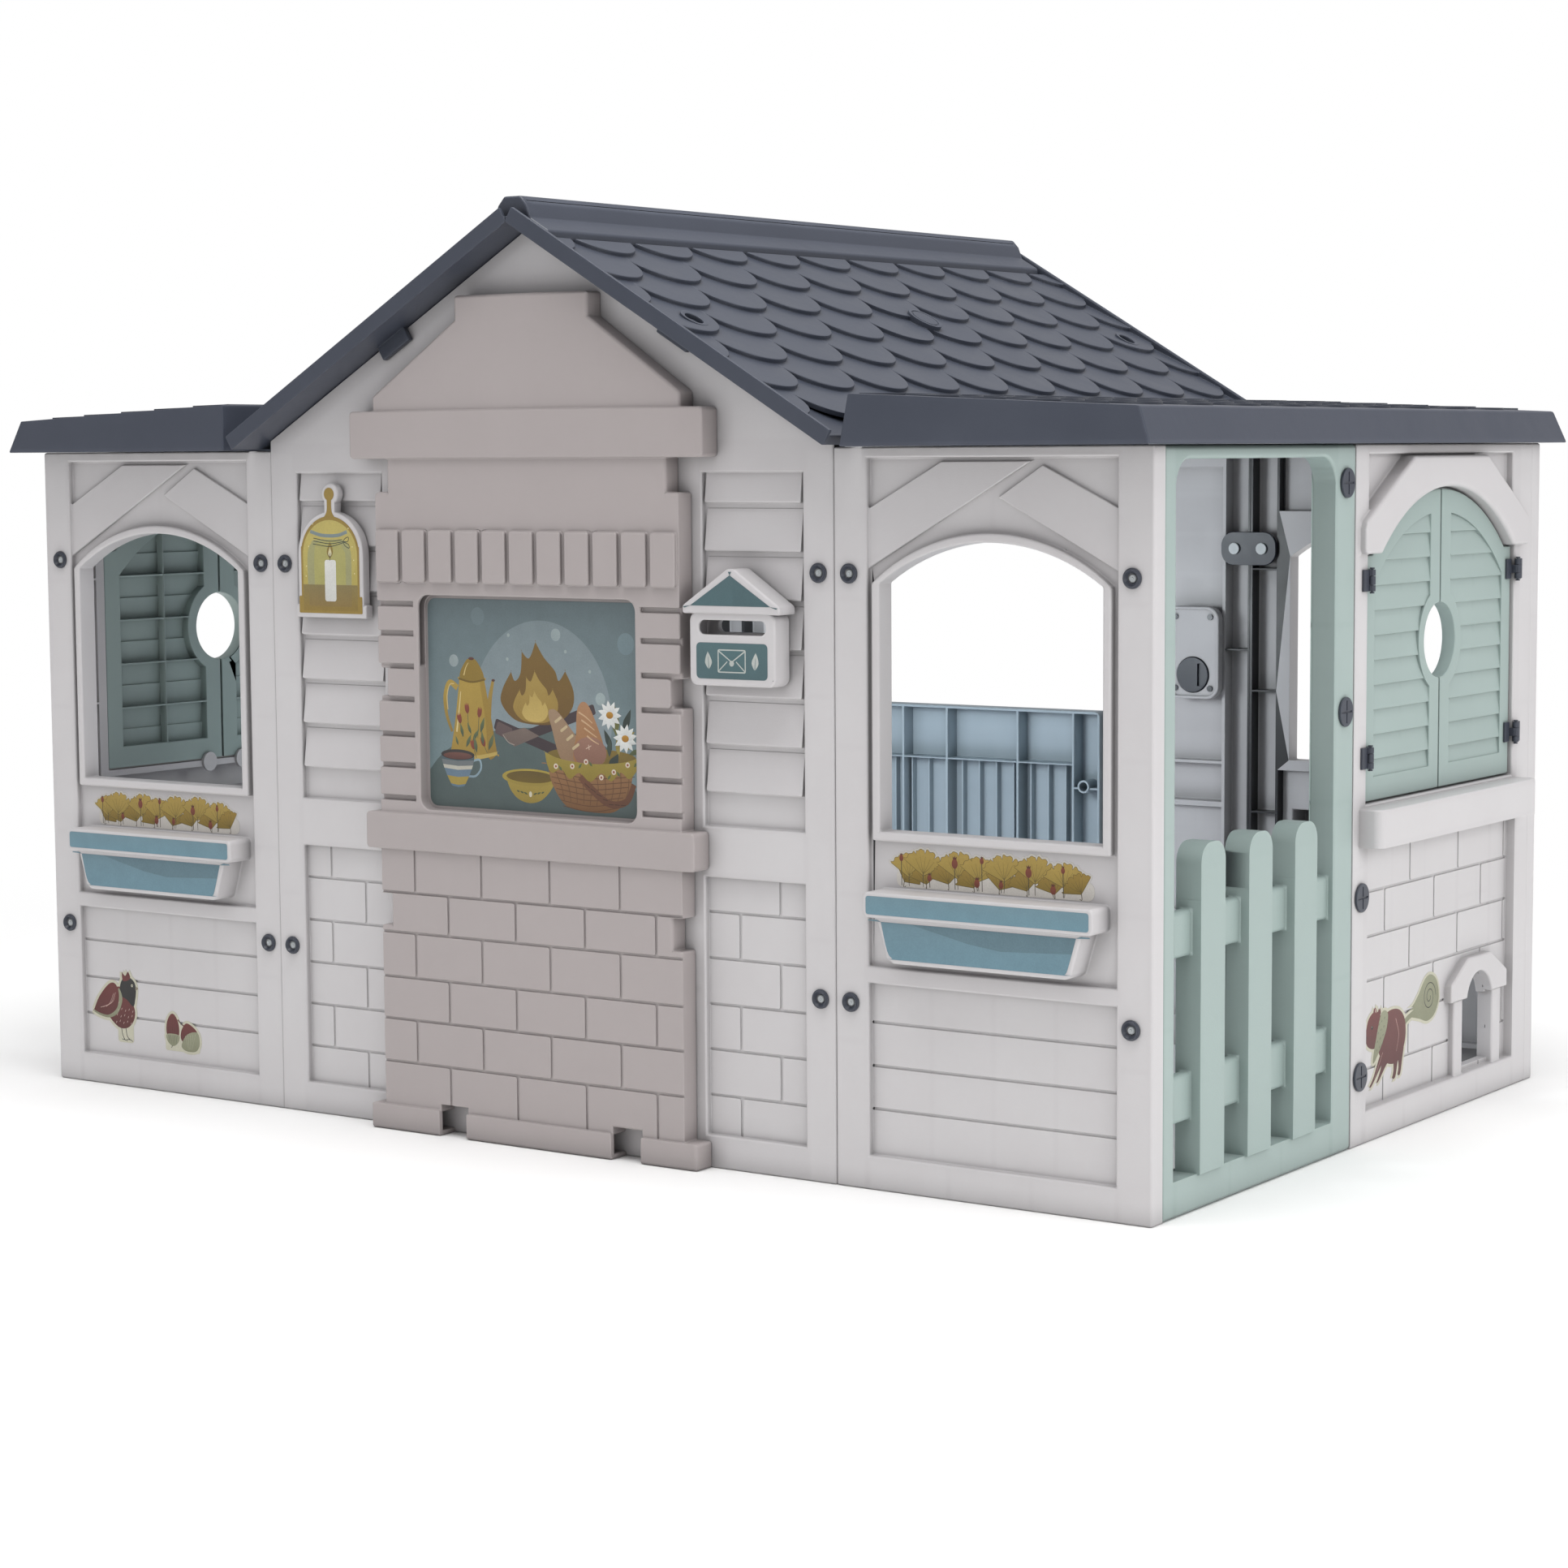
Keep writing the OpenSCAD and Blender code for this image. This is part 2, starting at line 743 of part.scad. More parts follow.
// The hollow behind the fireplace face, in rows with ribs between them.
module fireplace_shell() {
    deep = chest_out - skin - 2;
    rows = [[6, 28, 205], [50, 134, 217], [138, 244, 217], [291, 341, 217], [347, 379, 236],
        [562, 655, 217], [659, 724, 217], [728, 761, 217], [770, 800, 199], [811, 855, 252],
        [867, 874, 220], [880, 960, 92], [964, 988, 92]];
    for (row = rows, m = [0, 1]) mirror([m, 0, 0]) {
        block(rib / 2, row[2] / 2, -deep, 1, row[0], row[1]);
        block(row[2] / 2 + rib, row[2], -deep, 1, row[0], row[1]);
    }
}

// ---- mailbox and lantern plaque ----------------------------------------------------------------

mail_x = 297;
mail_out = 30;

module mailbox() {
    color(wall_grey) on_front(0) difference() {
        union() {
            plate(-mail_out, -slack) rounded(mail_x - 58, mail_x + 58, 552, 634, 10);
            plate(-mail_out - 3, -slack) {
                polygon([[mail_x - 66, 632], [mail_x + 66, 632], [mail_x + 66, 641],
                    [mail_x + 5, 682], [mail_x - 5, 682], [mail_x - 66, 641]]);
            }
        }
        plate(-mail_out + 4, 1) rounded(mail_x - 54, mail_x + 54, 556, 628, 6);
        plate(-mail_out - 5, 1) rounded(mail_x - 45, mail_x + 45, 609, 625, 7);
    }
}

lantern_x = -308;

module lantern_outline(grow) {
    translate([lantern_x, 0]) {
        translate([0, 763]) circle(11 + grow);
        translate([-6 - grow, 735]) square([12 + 2 * grow, 24]);
        translate([0, 690]) circle(50 + grow);
        translate([-50 - grow, 622 - grow]) square([100 + 2 * grow, 68 + grow]);
        translate([-54 - grow, 616 - grow]) square([108 + 2 * grow, 12 + 2 * grow]);
    }
}

module lantern_plaque() {
    color(wall_grey) on_front(0) difference() {
        plate(-13, -slack) lantern_outline(2);
        plate(-9, 0) translate([lantern_x, 0]) {
            translate([0, 690]) circle(45);
            translate([-45, 622]) square([90, 68]);
        }
    }
}

// ---- roof --------------------------------------------------------------------------------------

// Axes on a slope: x runs down the slope from the ridge, z stands square to the sheet.
module on_slope(side) {
    mirror([side < 0 ? 1 : 0, 0, 0]) translate([0, 0, ridge_z]) rotate([0, roof_pitch, 0]) children();
}

// One row of rounded tiles whose tips lie at distance s from the upper edge, cut off above clip.
module tile_outline(s, shifted, span, clip) {
    r = tile_w / 2;
    n = ceil(span / tile_w);
    top = max(clip, s - tile_l);
    intersection() {
        union() {
            translate([top, -span]) square([s - r - top, 2 * span]);
            for (k = [-n : n]) translate([s - r, (k + (shifted ? 0.5 : 0)) * tile_w]) circle(r + 0.4);
        }
        translate([top, -span]) square([s + 20, 2 * span]);
    }
}

// The row is flush with the sheet at its hidden upper edge and stands up by lift at its tips.
module tile_layer(s, shifted, span, clip, lift, thick) {
    tilt = atan(lift / tile_l);
    top = s - tile_l;
    translate([top, 0, 0]) rotate([0, -tilt, 0]) translate([-top, 0, -thick]) {
        linear_extrude(thick) tile_outline(s, shifted, span, clip);
    }
}

screw_s = 250;
screw_y = 500;
boss_s = 228;
boss_y = 12;

module tiled_sheet() {
    block(0.2, slope_l, -roof_y + 1, roof_y - 1, -sheet_t, 0);
    for (k = [0 : 6]) {
        s = 97 + k * tile_row;
        tile_layer(s, k % 2 == 1, roof_y - 3, 62, tile_lift, sheet_t - 0.2);
    }
}

// Rake boards along the front and back edges, with the tabs that hook over the gable walls.
module rake_boards() {
    for (m = [0, 1]) mirror([0, m, 0]) {
        block(3, slope_l, roof_y - 6, roof_y, -sheet_t, rake_h);
        block(224, 272, half_d + 0.5, half_d + 9, -24, 1 - sheet_t);
        translate([screw_s, screw_y, -1]) cylinder(r = 17, h = tile_lift);
    }
    block(slope_l - 5, slope_l, -roof_y, roof_y, -sheet_t, 6);
}

module slope(side) {
    color(slate) on_slope(side) difference() {
        union() {
            tiled_sheet();
            rake_boards();
            translate([boss_s, boss_y, -1]) cylinder(r = 23, h = tile_lift + 4);
        }
        translate([boss_s, boss_y, tile_lift + 2]) {
            difference() {
                cylinder(r = 19, h = 3);
                translate([0, 0, -1]) cylinder(r = 17, h = 5);
            }
        }
        for (y = [-screw_y, screw_y]) {
            translate([screw_s, y, 0.5]) cylinder(r = 11, h = 20);
            translate([screw_s, y, -sheet_t - 1]) cylinder(r = 3, h = 20);
        }
        // The two slopes meet on a plumb plane under the ridge cap.
        rotate([0, -roof_pitch, 0]) block(-60, 0.2, -700, 700, -80, 80);
    }
}

function over_roof(x, n) = ridge_z - abs(x) * roof_tan + n / roof_cos;

module ridge_cap() {
    right = [[52, over_roof(52, slack)], [52, over_roof(52, 11)], [27, over_roof(27, 11)],
        [21, 1092], [12, 1102]];
    left = [for (k = [4 : -1 : 0]) [-right[k][0], right[k][1]]];
    color(slate) difference() {
        translate([0, 549, 0]) rotate([90, 0, 0]) linear_extrude(2 * 549) {
            polygon(concat(right, left, [[0, over_roof(0, slack)]]));
        }
        block(-17, 17, -540, 540, over_roof(0, slack + 5), 1097);
        block(-40, 40, -0.5, 0.5, 1098.5, 1110);
    }
}

// A hollow wing roof: a sloping lid with flared fascia boards round its edge.
module wing_shape(x0, x1, y, z0, flare_in, flare_out, flare_y, top_in, top_out) {
    xs = [x0, x1];
    hull() {
        for (x = xs, s = [-1, 1]) translate([x, s * y, z0]) cube(0.01, center = true);
        for (s = [-1, 1]) {
            translate([x0 + flare_in, s * (y - flare_y), top_in]) cube(0.01, center = true);
            translate([x1 - flare_out, s * (y - flare_y), top_out]) cube(0.01, center = true);
        }
    }
}

module wing_roof(side) {
    x1 = half_l + wing_over;
    slant = atan((wing_top_in - wing_top_out) / (x1 - wing_x0 - 22));
    color(slate) mirror([side < 0 ? 1 : 0, 0, 0]) {
        difference() {
            wing_shape(wing_x0, x1, wing_y, wall_h + slack, 7, 16, 7, wing_top_in, wing_top_out);
            wing_shape(wing_x0 + 4, x1 - 4, wing_y - 4, wall_h - 1, 7, 16, 7,
                wing_top_in - 4, wing_top_out - 4);
        }
        translate([wing_x0 + 12, 0, wing_top_in - 0.5]) rotate([0, slant, 0]) {
            for (k = [0 : 4]) {
                s = 70 + k * tile_row;
                tile_layer(s, k % 2 == 1, wing_y - 22, 0, 3, 3);
            }
        }
        wing_seats(x1);
    }
}

// Ribs under a wing roof that stand on the tops of the walls.
module wing_seats(x1) {
    z0 = wall_h + slack;
    for (m = [0, 1]) mirror([0, m, 0]) {
        block(wing_x0 + 2, half_l - 2, half_d - 22, half_d - 18, z0, 852);
        block(wing_x0 + 2, half_l - 2, half_d - 6, half_d - 2, z0, 852);
        for (k = [0 : 5]) {
            x = wing_x0 + 30 + k * 62;
            block(x, x + 3, half_d - 20, wing_y - 8, z0 + 3, 852);
        }
    }
    block(half_l - 22, half_l - 18, -half_d + 20, half_d - 20, z0, 850);
    block(half_l - 6, half_l - 2, -half_d + 4, half_d - 4, z0, 850);
}

// ---- fasteners ---------------------------------------------------------------------------------

seam_bolt_x = [gable_half + bolt_side, gable_half - bolt_side];
corner_bolt_x = [half_l - bolt_corner];

module at_bolts(places) {
    for (turn = [0, 180]) rotate(turn) on_front(0) {
        for (m = [-1, 1], x = places, z = bolt_z) translate([m * x, 0, z]) children();
    }
}

module wall_nut() {
    rotate([90, 0, 0]) difference() {
        union() {
            translate([0, 0, slack]) cylinder(r = 11, h = 3);
            translate([0, 0, slack]) cylinder(r = 9, h = 4.5);
        }
        cylinder(r = 5, h = 10);
    }
}

module seam_bolt() {
    translate([0, panel_t + 9, 0]) rotate([90, 0, 0]) {
        cylinder(r = bolt_r, h = panel_t + 9 + 3.2);
        cylinder(r = 8, h = 3);
    }
}

module corner_bolt() {
    translate([0, panel_t - 0.5, 0]) rotate([90, 0, 0]) cylinder(r = bolt_r, h = panel_t + 2.7);
}

module wall_bolts() {
    color(pale) at_bolts(seam_bolt_x) seam_bolt();
    color(pale) at_bolts(corner_bolt_x) corner_bolt();
}

module wall_nuts() {
    color(dark) at_bolts(concat(seam_bolt_x, corner_bolt_x)) wall_nut();
}

// Plates inside the house that bridge two panels at each bolt height.
module connector_plates() {
    for (turn = [0, 180], m = [0, 1], z = bolt_z) {
        color(dark) rotate(turn) mirror([m, 0, 0]) on_front(gable_half) translate([0, 0, z]) {
            difference() {
                plate(panel_t + slack, panel_t + 6) {
                    rounded(-plate_w / 2, plate_w / 2, -plate_h / 2, plate_h / 2, 18);
                }
                for (x = [-bolt_side, bolt_side]) bore(x, 0, bolt_bore_r, panel_t, panel_t + 8);
            }
        }
    }
}

module frame_screw() {
    rotate([90, 0, 0]) difference() {
        union() {
            translate([0, 0, slack]) cylinder(r = 17, h = 3);
            translate([0, 0, -20]) cylinder(r = bolt_r, h = 21);
        }
        block(-13, 13, -1.2, 1.2, 2, 4);
        block(-1.2, 1.2, -13, 13, 2, 4);
    }
}

module frame_screws() {
    for (turn = [0, 180]) color(dark) rotate(turn) on_right(door_split) {
        for (z = [screw_z[0], screw_z[1]]) translate([22, 0, z]) frame_screw();
        for (z = [screw_z[2], screw_z[3]]) translate([-26, 0, z]) frame_screw();
    }
}

module roof_screws() {
    color(dark) for (side = [-1, 1], y = [-screw_y, screw_y]) on_slope(side) translate([screw_s, y, 0]) {
        translate([0, 0, 0.8]) cylinder(r = 8, h = 3.5);
        translate([0, 0, -4.5]) cylinder(r = 2.7, h = 6);
    }
}

// ---- battery box inside the back gable wall ----------------------------------------------------

module on_back_inside() {
    translate([0, half_d - panel_t, 0]) children();
}

module battery_box() {
    color(wall_grey) on_back_inside() difference() {
        plate(-14, -slack) rounded(box_x - 40, box_x + 40, box_z - 62, box_z + 62, 18);
        plate(-15, -11) rounded(box_x - 36, box_x + 36, box_z - 58, box_z + 58, 15);
        bore(box_x, box_z - 30, 24, -12, -4);
        for (x = [-26, 26], z = [-48, 48]) bore(box_x + x, box_z + z, 2.2, -15, -4);
    }
}

module battery_box_screws() {
    color(dark) on_back_inside() for (x = [-26, 26], z = [-48, 48]) {
        bore(box_x + x, box_z + z, 2, -11.5, -5);
        bore(box_x + x, box_z + z, 4, -12.8, -11.3);
    }
}

module battery_box_cap() {
    color(dark) on_back_inside() difference() {
        bore(box_x, box_z - 30, 23.5, -13, -4.3);
        block(box_x + 8, box_x + 12, -14, -10, box_z - 45, box_z - 15);
    }
}

// ---- stickers ----------------------------------------------------------------------------------

label_t = 0.8;

module fire_picture() {
    color(teal) on_front(0) plate(-12 - slack - label_t - 0.05, -12 - slack - 0.05) {
        rounded(-hearth_half + 4, hearth_half - 4, hearth_z[0] + 4, hearth_z[1] - 4, 11);
    }
}

module lantern_sticker() {
    color(ochre) on_front(0) plate(-13 - label_t - 0.05, -13.05) lantern_outline(-3);
}

module mailbox_sticker() {
    y = -mail_out - 0.05;
    color(teal) on_front(0) {
        plate(y - label_t, y) rounded(mail_x - 48, mail_x + 48, 560, 600, 5);
        plate(y - 3 - label_t, y - 3) {
            polygon([[mail_x - 56, 640], [mail_x + 56, 640], [mail_x, 677]]);
        }
    }
}

module on_side_walls() {
    for (x = [-half_l, gable_half]) on_front(x) children();
}

module planter_stickers() {
    color(haze_blue) on_side_walls() {
        plate(-30.05 - label_t, -30.05) rounded(side_mid - 138, side_mid + 138, 311, 331, 3);
        plate(-26.05 - label_t, -26.05) translate([side_mid, 0]) {
            polygon([[-121, 303], [-109, 263], [109, 263], [121, 303]]);
        }
    }
}

module flower_stickers() {
    color(ochre) on_side_walls() plate(recess - 0.05 - label_t, recess - 0.05) {
        rounded(side_mid - 135, side_mid + 135, 337, 381, 12);
    }
}

module bird_sticker() {
    color([0.45, 0.2, 0.2]) on_front(-half_l) plate(recess - 0.05 - label_t, recess - 0.05) {
        translate([68, 100]) circle(16);
        translate([108, 105]) circle(44);
    }
}

module acorn_sticker() {
    color([0.45, 0.2, 0.2]) on_front(-half_l) plate(recess - 0.05 - label_t, recess - 0.05) {
        rounded(178, 254, 52, 102, 20);
    }
}

module squirrel_sticker() {
    y = brick_deep - 0.05;
    color([0.45, 0.2, 0.2]) on_right(door_split) plate(y - label_t, y) {
        rounded(60, 196, 56, 150, 24);
        translate([248, 144]) circle(30);
    }
}

// ---- assembly ----------------------------------------------------------------------------------

on_front(-half_l) side_wall(true);  // front_left_wall
on_front(gable_half) side_wall(false);  // front_right_wall
opposite() on_front(gable_half) side_wall(false);  // back_left_wall
opposite() on_front(-half_l) side_wall(true);  // back_right_wall
on_front(0) gable_wall(false);  // front_gable_wall
opposite() on_front(0) gable_wall(true);  // back_gable_wall
on_right(end_y0) door_frame();  // right_door_frame
opposite() on_right(end_y0) door_frame();  // left_door_frame
on_right(door_split) shutter_wall();  // right_shutter_wall
opposite() on_right(door_split) shutter_wall();  // left_shutter_wall
on_right_window() in_window(-1) leaf();  // right_shutter_a
on_right_window() in_window(1) leaf();  // right_shutter_b
opposite() on_right_window() in_window(-1) leaf();  // left_shutter_a
opposite() on_right_window() in_window(1) leaf();  // left_shutter_b
half_door();
fireplace();
mailbox();
lantern_plaque();
slope(-1);  // roof_left
slope(1);  // roof_right
ridge_cap();
wing_roof(-1);  // wing_roof_left
wing_roof(1);  // wing_roof_right
all_hinges() bracket();  // hinge_brackets
all_hinges() hinge_pin();  // hinge_pins
union() {  // right_shutter_a_hinges
    on_right_window() on_leaf_hinges(-1) leaf_strap();
}
union() {  // right_shutter_b_hinges
    on_right_window() on_leaf_hinges(1) leaf_strap();
}
union() {  // left_shutter_a_hinges
    opposite() on_right_window() on_leaf_hinges(-1) leaf_strap();
}
union() {  // left_shutter_b_hinges
    opposite() on_right_window() on_leaf_hinges(1) leaf_strap();
}
on_half_door_hinges() leaf_strap();  // half_door_hinges
wall_nuts();
wall_bolts();
connector_plates();
frame_screws();
roof_screws();
battery_box();
battery_box_screws();
battery_box_cap();
fire_picture();
lantern_sticker();
mailbox_sticker();
planter_stickers();
flower_stickers();
bird_sticker();
acorn_sticker();
squirrel_sticker();
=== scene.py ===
# %% [markdown]
# # A moulded plastic playhouse
# The real object is a garden house for small children: wall panels blow-moulded or
# injection-moulded in polyethylene, bolted together, with a tiled roof, swinging shutters,
# a half door, a fireplace front and printed vinyl labels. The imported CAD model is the
# frame. It gives every size and place, and this lesson adds what plastic has and plain
# CAD solids lack: rounded edges, surface grain, fasteners with detail, and artwork.

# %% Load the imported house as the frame
import json
import math

import bmesh
import bpy
import numpy as np
from mathutils import Matrix, Vector
from mathutils.geometry import delaunay_2d_cdt


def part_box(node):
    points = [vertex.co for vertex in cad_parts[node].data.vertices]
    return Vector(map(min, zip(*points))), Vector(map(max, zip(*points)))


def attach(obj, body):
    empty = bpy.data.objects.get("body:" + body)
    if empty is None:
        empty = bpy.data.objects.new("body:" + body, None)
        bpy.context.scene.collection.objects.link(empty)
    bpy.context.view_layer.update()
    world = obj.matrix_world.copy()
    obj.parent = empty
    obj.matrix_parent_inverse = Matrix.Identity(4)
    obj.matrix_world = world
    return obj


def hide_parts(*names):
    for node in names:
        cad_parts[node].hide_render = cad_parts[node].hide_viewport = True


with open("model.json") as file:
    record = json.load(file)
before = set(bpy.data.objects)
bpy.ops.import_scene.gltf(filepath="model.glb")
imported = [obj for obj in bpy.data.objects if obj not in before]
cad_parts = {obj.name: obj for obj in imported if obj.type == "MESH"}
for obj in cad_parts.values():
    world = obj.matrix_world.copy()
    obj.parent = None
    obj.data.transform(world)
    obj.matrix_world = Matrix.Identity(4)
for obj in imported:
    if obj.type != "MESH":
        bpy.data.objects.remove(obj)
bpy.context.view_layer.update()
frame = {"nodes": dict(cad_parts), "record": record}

MM = 0.001
HALF_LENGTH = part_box("right_shutter_wall")[1].x - 30 * MM   # end face of the walls, without the sill
HALF_DEPTH = -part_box("front_gable_wall")[0].y               # front face of the walls
body_of_node = {
    node: body
    for body, nodes in frame["record"]["behaviour"]["bodies"].items()
    for node in nodes
}

# %% [markdown]
# ## Where the eye stands
# The house is seen from beyond its right front corner, a little above a child's head.
# The camera is placed by three turns that a photographer would make: first round the
# upright axis, then a small tilt down, and then a very small roll of the tripod.

# %% Camera
def place_camera(location, azimuth, tilt_down, roll, focal_length):
    data = bpy.data.cameras.new("camera")
    data.sensor_width = 36.0
    data.lens = focal_length
    data.clip_end = 60.0
    camera = bpy.data.objects.new("camera", data)
    turn = Matrix.Rotation(math.radians(azimuth), 4, "Z")
    look = Matrix.Rotation(math.radians(90.0 - tilt_down), 4, "X")
    lean = Matrix.Rotation(math.radians(roll), 4, "Z")
    camera.matrix_world = Matrix.Translation(location) @ turn @ look @ lean
    bpy.context.scene.collection.objects.link(camera)
    bpy.context.scene.camera = camera
    return camera


place_camera((2.481, -3.6183, 0.810), azimuth=34.51, tilt_down=5.55, roll=-0.38, focal_length=78.46)

# %% [markdown]
# ## Colours, nodes and new pieces
# Colours are picked as sRGB hex values, because that is how paint and plastic charts give
# them, and Cycles works in linear light, so one function converts them. Another small
# function adds a shader node, sets it and links it, which keeps each material readable.
# A third one makes an object from a mesh that was built.

# %% Helpers
def linear(hex_colour):
    channels = [int(hex_colour[i:i + 2], 16) / 255 for i in (1, 3, 5)]
    return tuple(c / 12.92 if c <= 0.04045 else ((c + 0.055) / 1.055) ** 2.4 for c in channels) + (1.0,)


def add_node(tree, kind, inputs=None, **settings):
    node = tree.nodes.new(kind)
    for key, value in settings.items():
        setattr(node, key, value)
    for key, value in (inputs or {}).items():
        if isinstance(value, bpy.types.NodeSocket):
            tree.links.new(value, node.inputs[key])
        else:
            node.inputs[key].default_value = value
    return node


def new_material(name):
    material = bpy.data.materials.new(name)
    material.use_nodes = True
    material.node_tree.nodes.clear()
    return material, material.node_tree


def new_piece(name, bm):
    """Turns a finished bmesh into an object of the scene."""
    mesh = bpy.data.meshes.new(name)
    bm.to_mesh(mesh)
    bm.free()
    piece = bpy.data.objects.new(name, mesh)
    bpy.context.scene.collection.objects.link(piece)
    return piece


# %% [markdown]
# ## Moulded polyethylene
# Outdoor toys are moulded in polyethylene. The mould is blasted with grit, so the plastic
# has a fine even grain and a soft satin sheen, without clear reflections. The pigment is
# never quite even: it drifts a little over a hand's width, with faint flow marks a little
# longer than wide where the melt was drawn up the mould. Shade is painted into corners and
# joint lines, and a painted highlight makes the convex edges a shade lighter. The grit is
# about 0.2 mm, too fine to show, so the grain is drawn at about 2 mm.

# %% Moulded plastic material
GRAIN = 2.2 * MM           # size of the drawn grain
DRIFT = 160 * MM           # size of the uneven patches of pigment
FLOW = 90 * MM             # size of the flow marks
RIPPLE = 30 * MM           # size of the faint waves in a large face
CORNER_SHADE_REACH = 26 * MM       # how far the painted corner shade spreads from a corner
EDGE_HIGHLIGHT_REACH = 5 * MM         # how far the painted edge highlight reaches
CORNER_SHADE_TONE = 0.42           # share of the pigment's colour that the painted corner shade leaves


def moulded_plastic(name, colour, shade, edge, roughness=0.44, grain=1.0, corner_shade=0.85, coat=0.0):
    material, tree = new_material(name)
    where = add_node(tree, "ShaderNodeTexCoord").outputs["Object"]
    drift = add_node(tree, "ShaderNodeTexNoise",
                     {"Vector": where, "Scale": 1 / DRIFT, "Detail": 3.0, "Roughness": 0.55})
    stretched = add_node(tree, "ShaderNodeMapping", {"Vector": where, "Scale": (1.0, 1.0, 0.8)})
    flow = add_node(tree, "ShaderNodeTexNoise",
                    {"Vector": stretched.outputs["Vector"], "Scale": 1 / FLOW, "Detail": 3.0,
                     "Roughness": 0.6})
    speck = add_node(tree, "ShaderNodeTexNoise",
                     {"Vector": where, "Scale": 1 / GRAIN, "Detail": 2.0, "Roughness": 0.6})
    marks = add_node(tree, "ShaderNodeMath", {0: drift.outputs["Fac"], 1: flow.outputs["Fac"]},
                     operation="ADD")
    marks = add_node(tree, "ShaderNodeMapRange",
                     {"Value": marks.outputs[0], "From Min": 0.5, "From Max": 1.5})
    body = add_node(tree, "ShaderNodeMix",
                    {"Factor": marks.outputs[0], "A": linear(shade), "B": linear(colour)},
                    data_type="RGBA")
    # Painted shade: where the AO node finds surfaces close by, in corners, joints and recesses, the colour
    # is mixed towards a dark tone.
    corner = add_node(tree, "ShaderNodeAmbientOcclusion", {"Distance": CORNER_SHADE_REACH}, samples=6)
    corner = add_node(tree, "ShaderNodeMapRange",
                      {"Value": corner.outputs["AO"], "From Min": 0.25, "From Max": 0.95,
                       "To Min": corner_shade, "To Max": 0.0})
    corner_shaded = add_node(tree, "ShaderNodeMix",
                     {"Factor": corner.outputs[0], "A": body.outputs["Result"],
                      "B": [c * CORNER_SHADE_TONE for c in linear(shade)[:3]] + [1.0]}, data_type="RGBA")
    # Painted highlight: convex edges, found by an inside AO node, are mixed unevenly towards the lighter
    # edge colour.
    rim = add_node(tree, "ShaderNodeAmbientOcclusion", {"Distance": EDGE_HIGHLIGHT_REACH}, samples=4,
                   inside=True)
    rim = add_node(tree, "ShaderNodeMapRange",
                   {"Value": rim.outputs["AO"], "From Min": 0.30, "From Max": 0.75,
                    "To Min": 0.45, "To Max": 0.0})
    edge_highlight_share = add_node(tree, "ShaderNodeMath", {0: rim.outputs[0], 1: flow.outputs["Fac"]},
                    operation="MULTIPLY")
    edge_highlighted = add_node(tree, "ShaderNodeMix",
                      {"Factor": edge_highlight_share.outputs[0], "A": corner_shaded.outputs["Result"], "B": linear(edge)},
                      data_type="RGBA")
    sheen = add_node(tree, "ShaderNodeMapRange",
                     {"Value": flow.outputs["Fac"], "From Min": 0.3, "From Max": 0.7,
                      "To Min": roughness - 0.06, "To Max": roughness + 0.07})
    ripple = add_node(tree, "ShaderNodeTexNoise",
                      {"Vector": where, "Scale": 1 / RIPPLE, "Detail": 2.0})
    waves = add_node(tree, "ShaderNodeBump",
                     {"Height": ripple.outputs["Fac"], "Strength": 0.12, "Distance": 1.2 * MM})
    pores = add_node(tree, "ShaderNodeBump",
                     {"Height": speck.outputs["Fac"], "Strength": 0.22 * grain,
                      "Distance": 0.5 * MM, "Normal": waves.outputs[0]})
    shader = add_node(tree, "ShaderNodeBsdfPrincipled",
                      {"Base Color": edge_highlighted.outputs["Result"], "Roughness": sheen.outputs[0], "IOR": 1.5,
                       "Normal": pores.outputs[0], "Coat Weight": coat, "Coat Roughness": 0.25})
    add_node(tree, "ShaderNodeOutputMaterial", {"Surface": shader.outputs[0]})
    return material


# The third colour given to each plastic is the tone of its painted edge highlight.
wall_grey = moulded_plastic("moulded_wall_grey", "#d1cfd0", "#cecbcc", "#e0dfdf")
hearth_taupe = moulded_plastic("moulded_hearth_taupe", "#b3abaa", "#afa7a6", "#c4bebc")
sage_green = moulded_plastic("moulded_sage_green", "#a5b6b2", "#a1b2ae", "#bccac7")
door_blue = moulded_plastic("moulded_door_blue", "#aebdc6", "#a9b8c1", "#c8d2d8")
roof_slate = moulded_plastic("moulded_roof_slate", "#454a56", "#3f4450", "#646a77",
                             roughness=0.38, corner_shade=0.8)
hinge_black = moulded_plastic("moulded_hinge_black", "#3a3e48", "#343842", "#5b606c",
                              roughness=0.38, corner_shade=0.4)
bolt_white = moulded_plastic("moulded_bolt_white", "#ccd2d4", "#c2c8ca", "#e4e6e7", roughness=0.35)
# Near-black painted shade for the hollow seam channels inside the walls.
seam_channel_shade = moulded_plastic("painted_shade_seam_channel", "#2c2c2e", "#272729", "#5c5c60", roughness=0.36)
screw_steel = moulded_plastic("blackened_screw_steel", "#2e3138", "#26292f", "#70747d",
                              roughness=0.32)

# %% [markdown]
# ## Rounding the edges of the mouldings
# No plastic part has knife edges, because the mould is cut with a round tool. A copy of
# each CAD mesh is merged and its flat faces are joined, and then the Bevel modifier rounds
# its edges. One width would not do: a window hood is as round as a thumb, and a brick
# joint is only 3 mm wide. So every edge gets its own weight. Its radius is the one wished
# for, but never more than a share of the narrowest face beside it or of the shortest edge
# at its ends, and edges that follow one another round a curve share one radius.

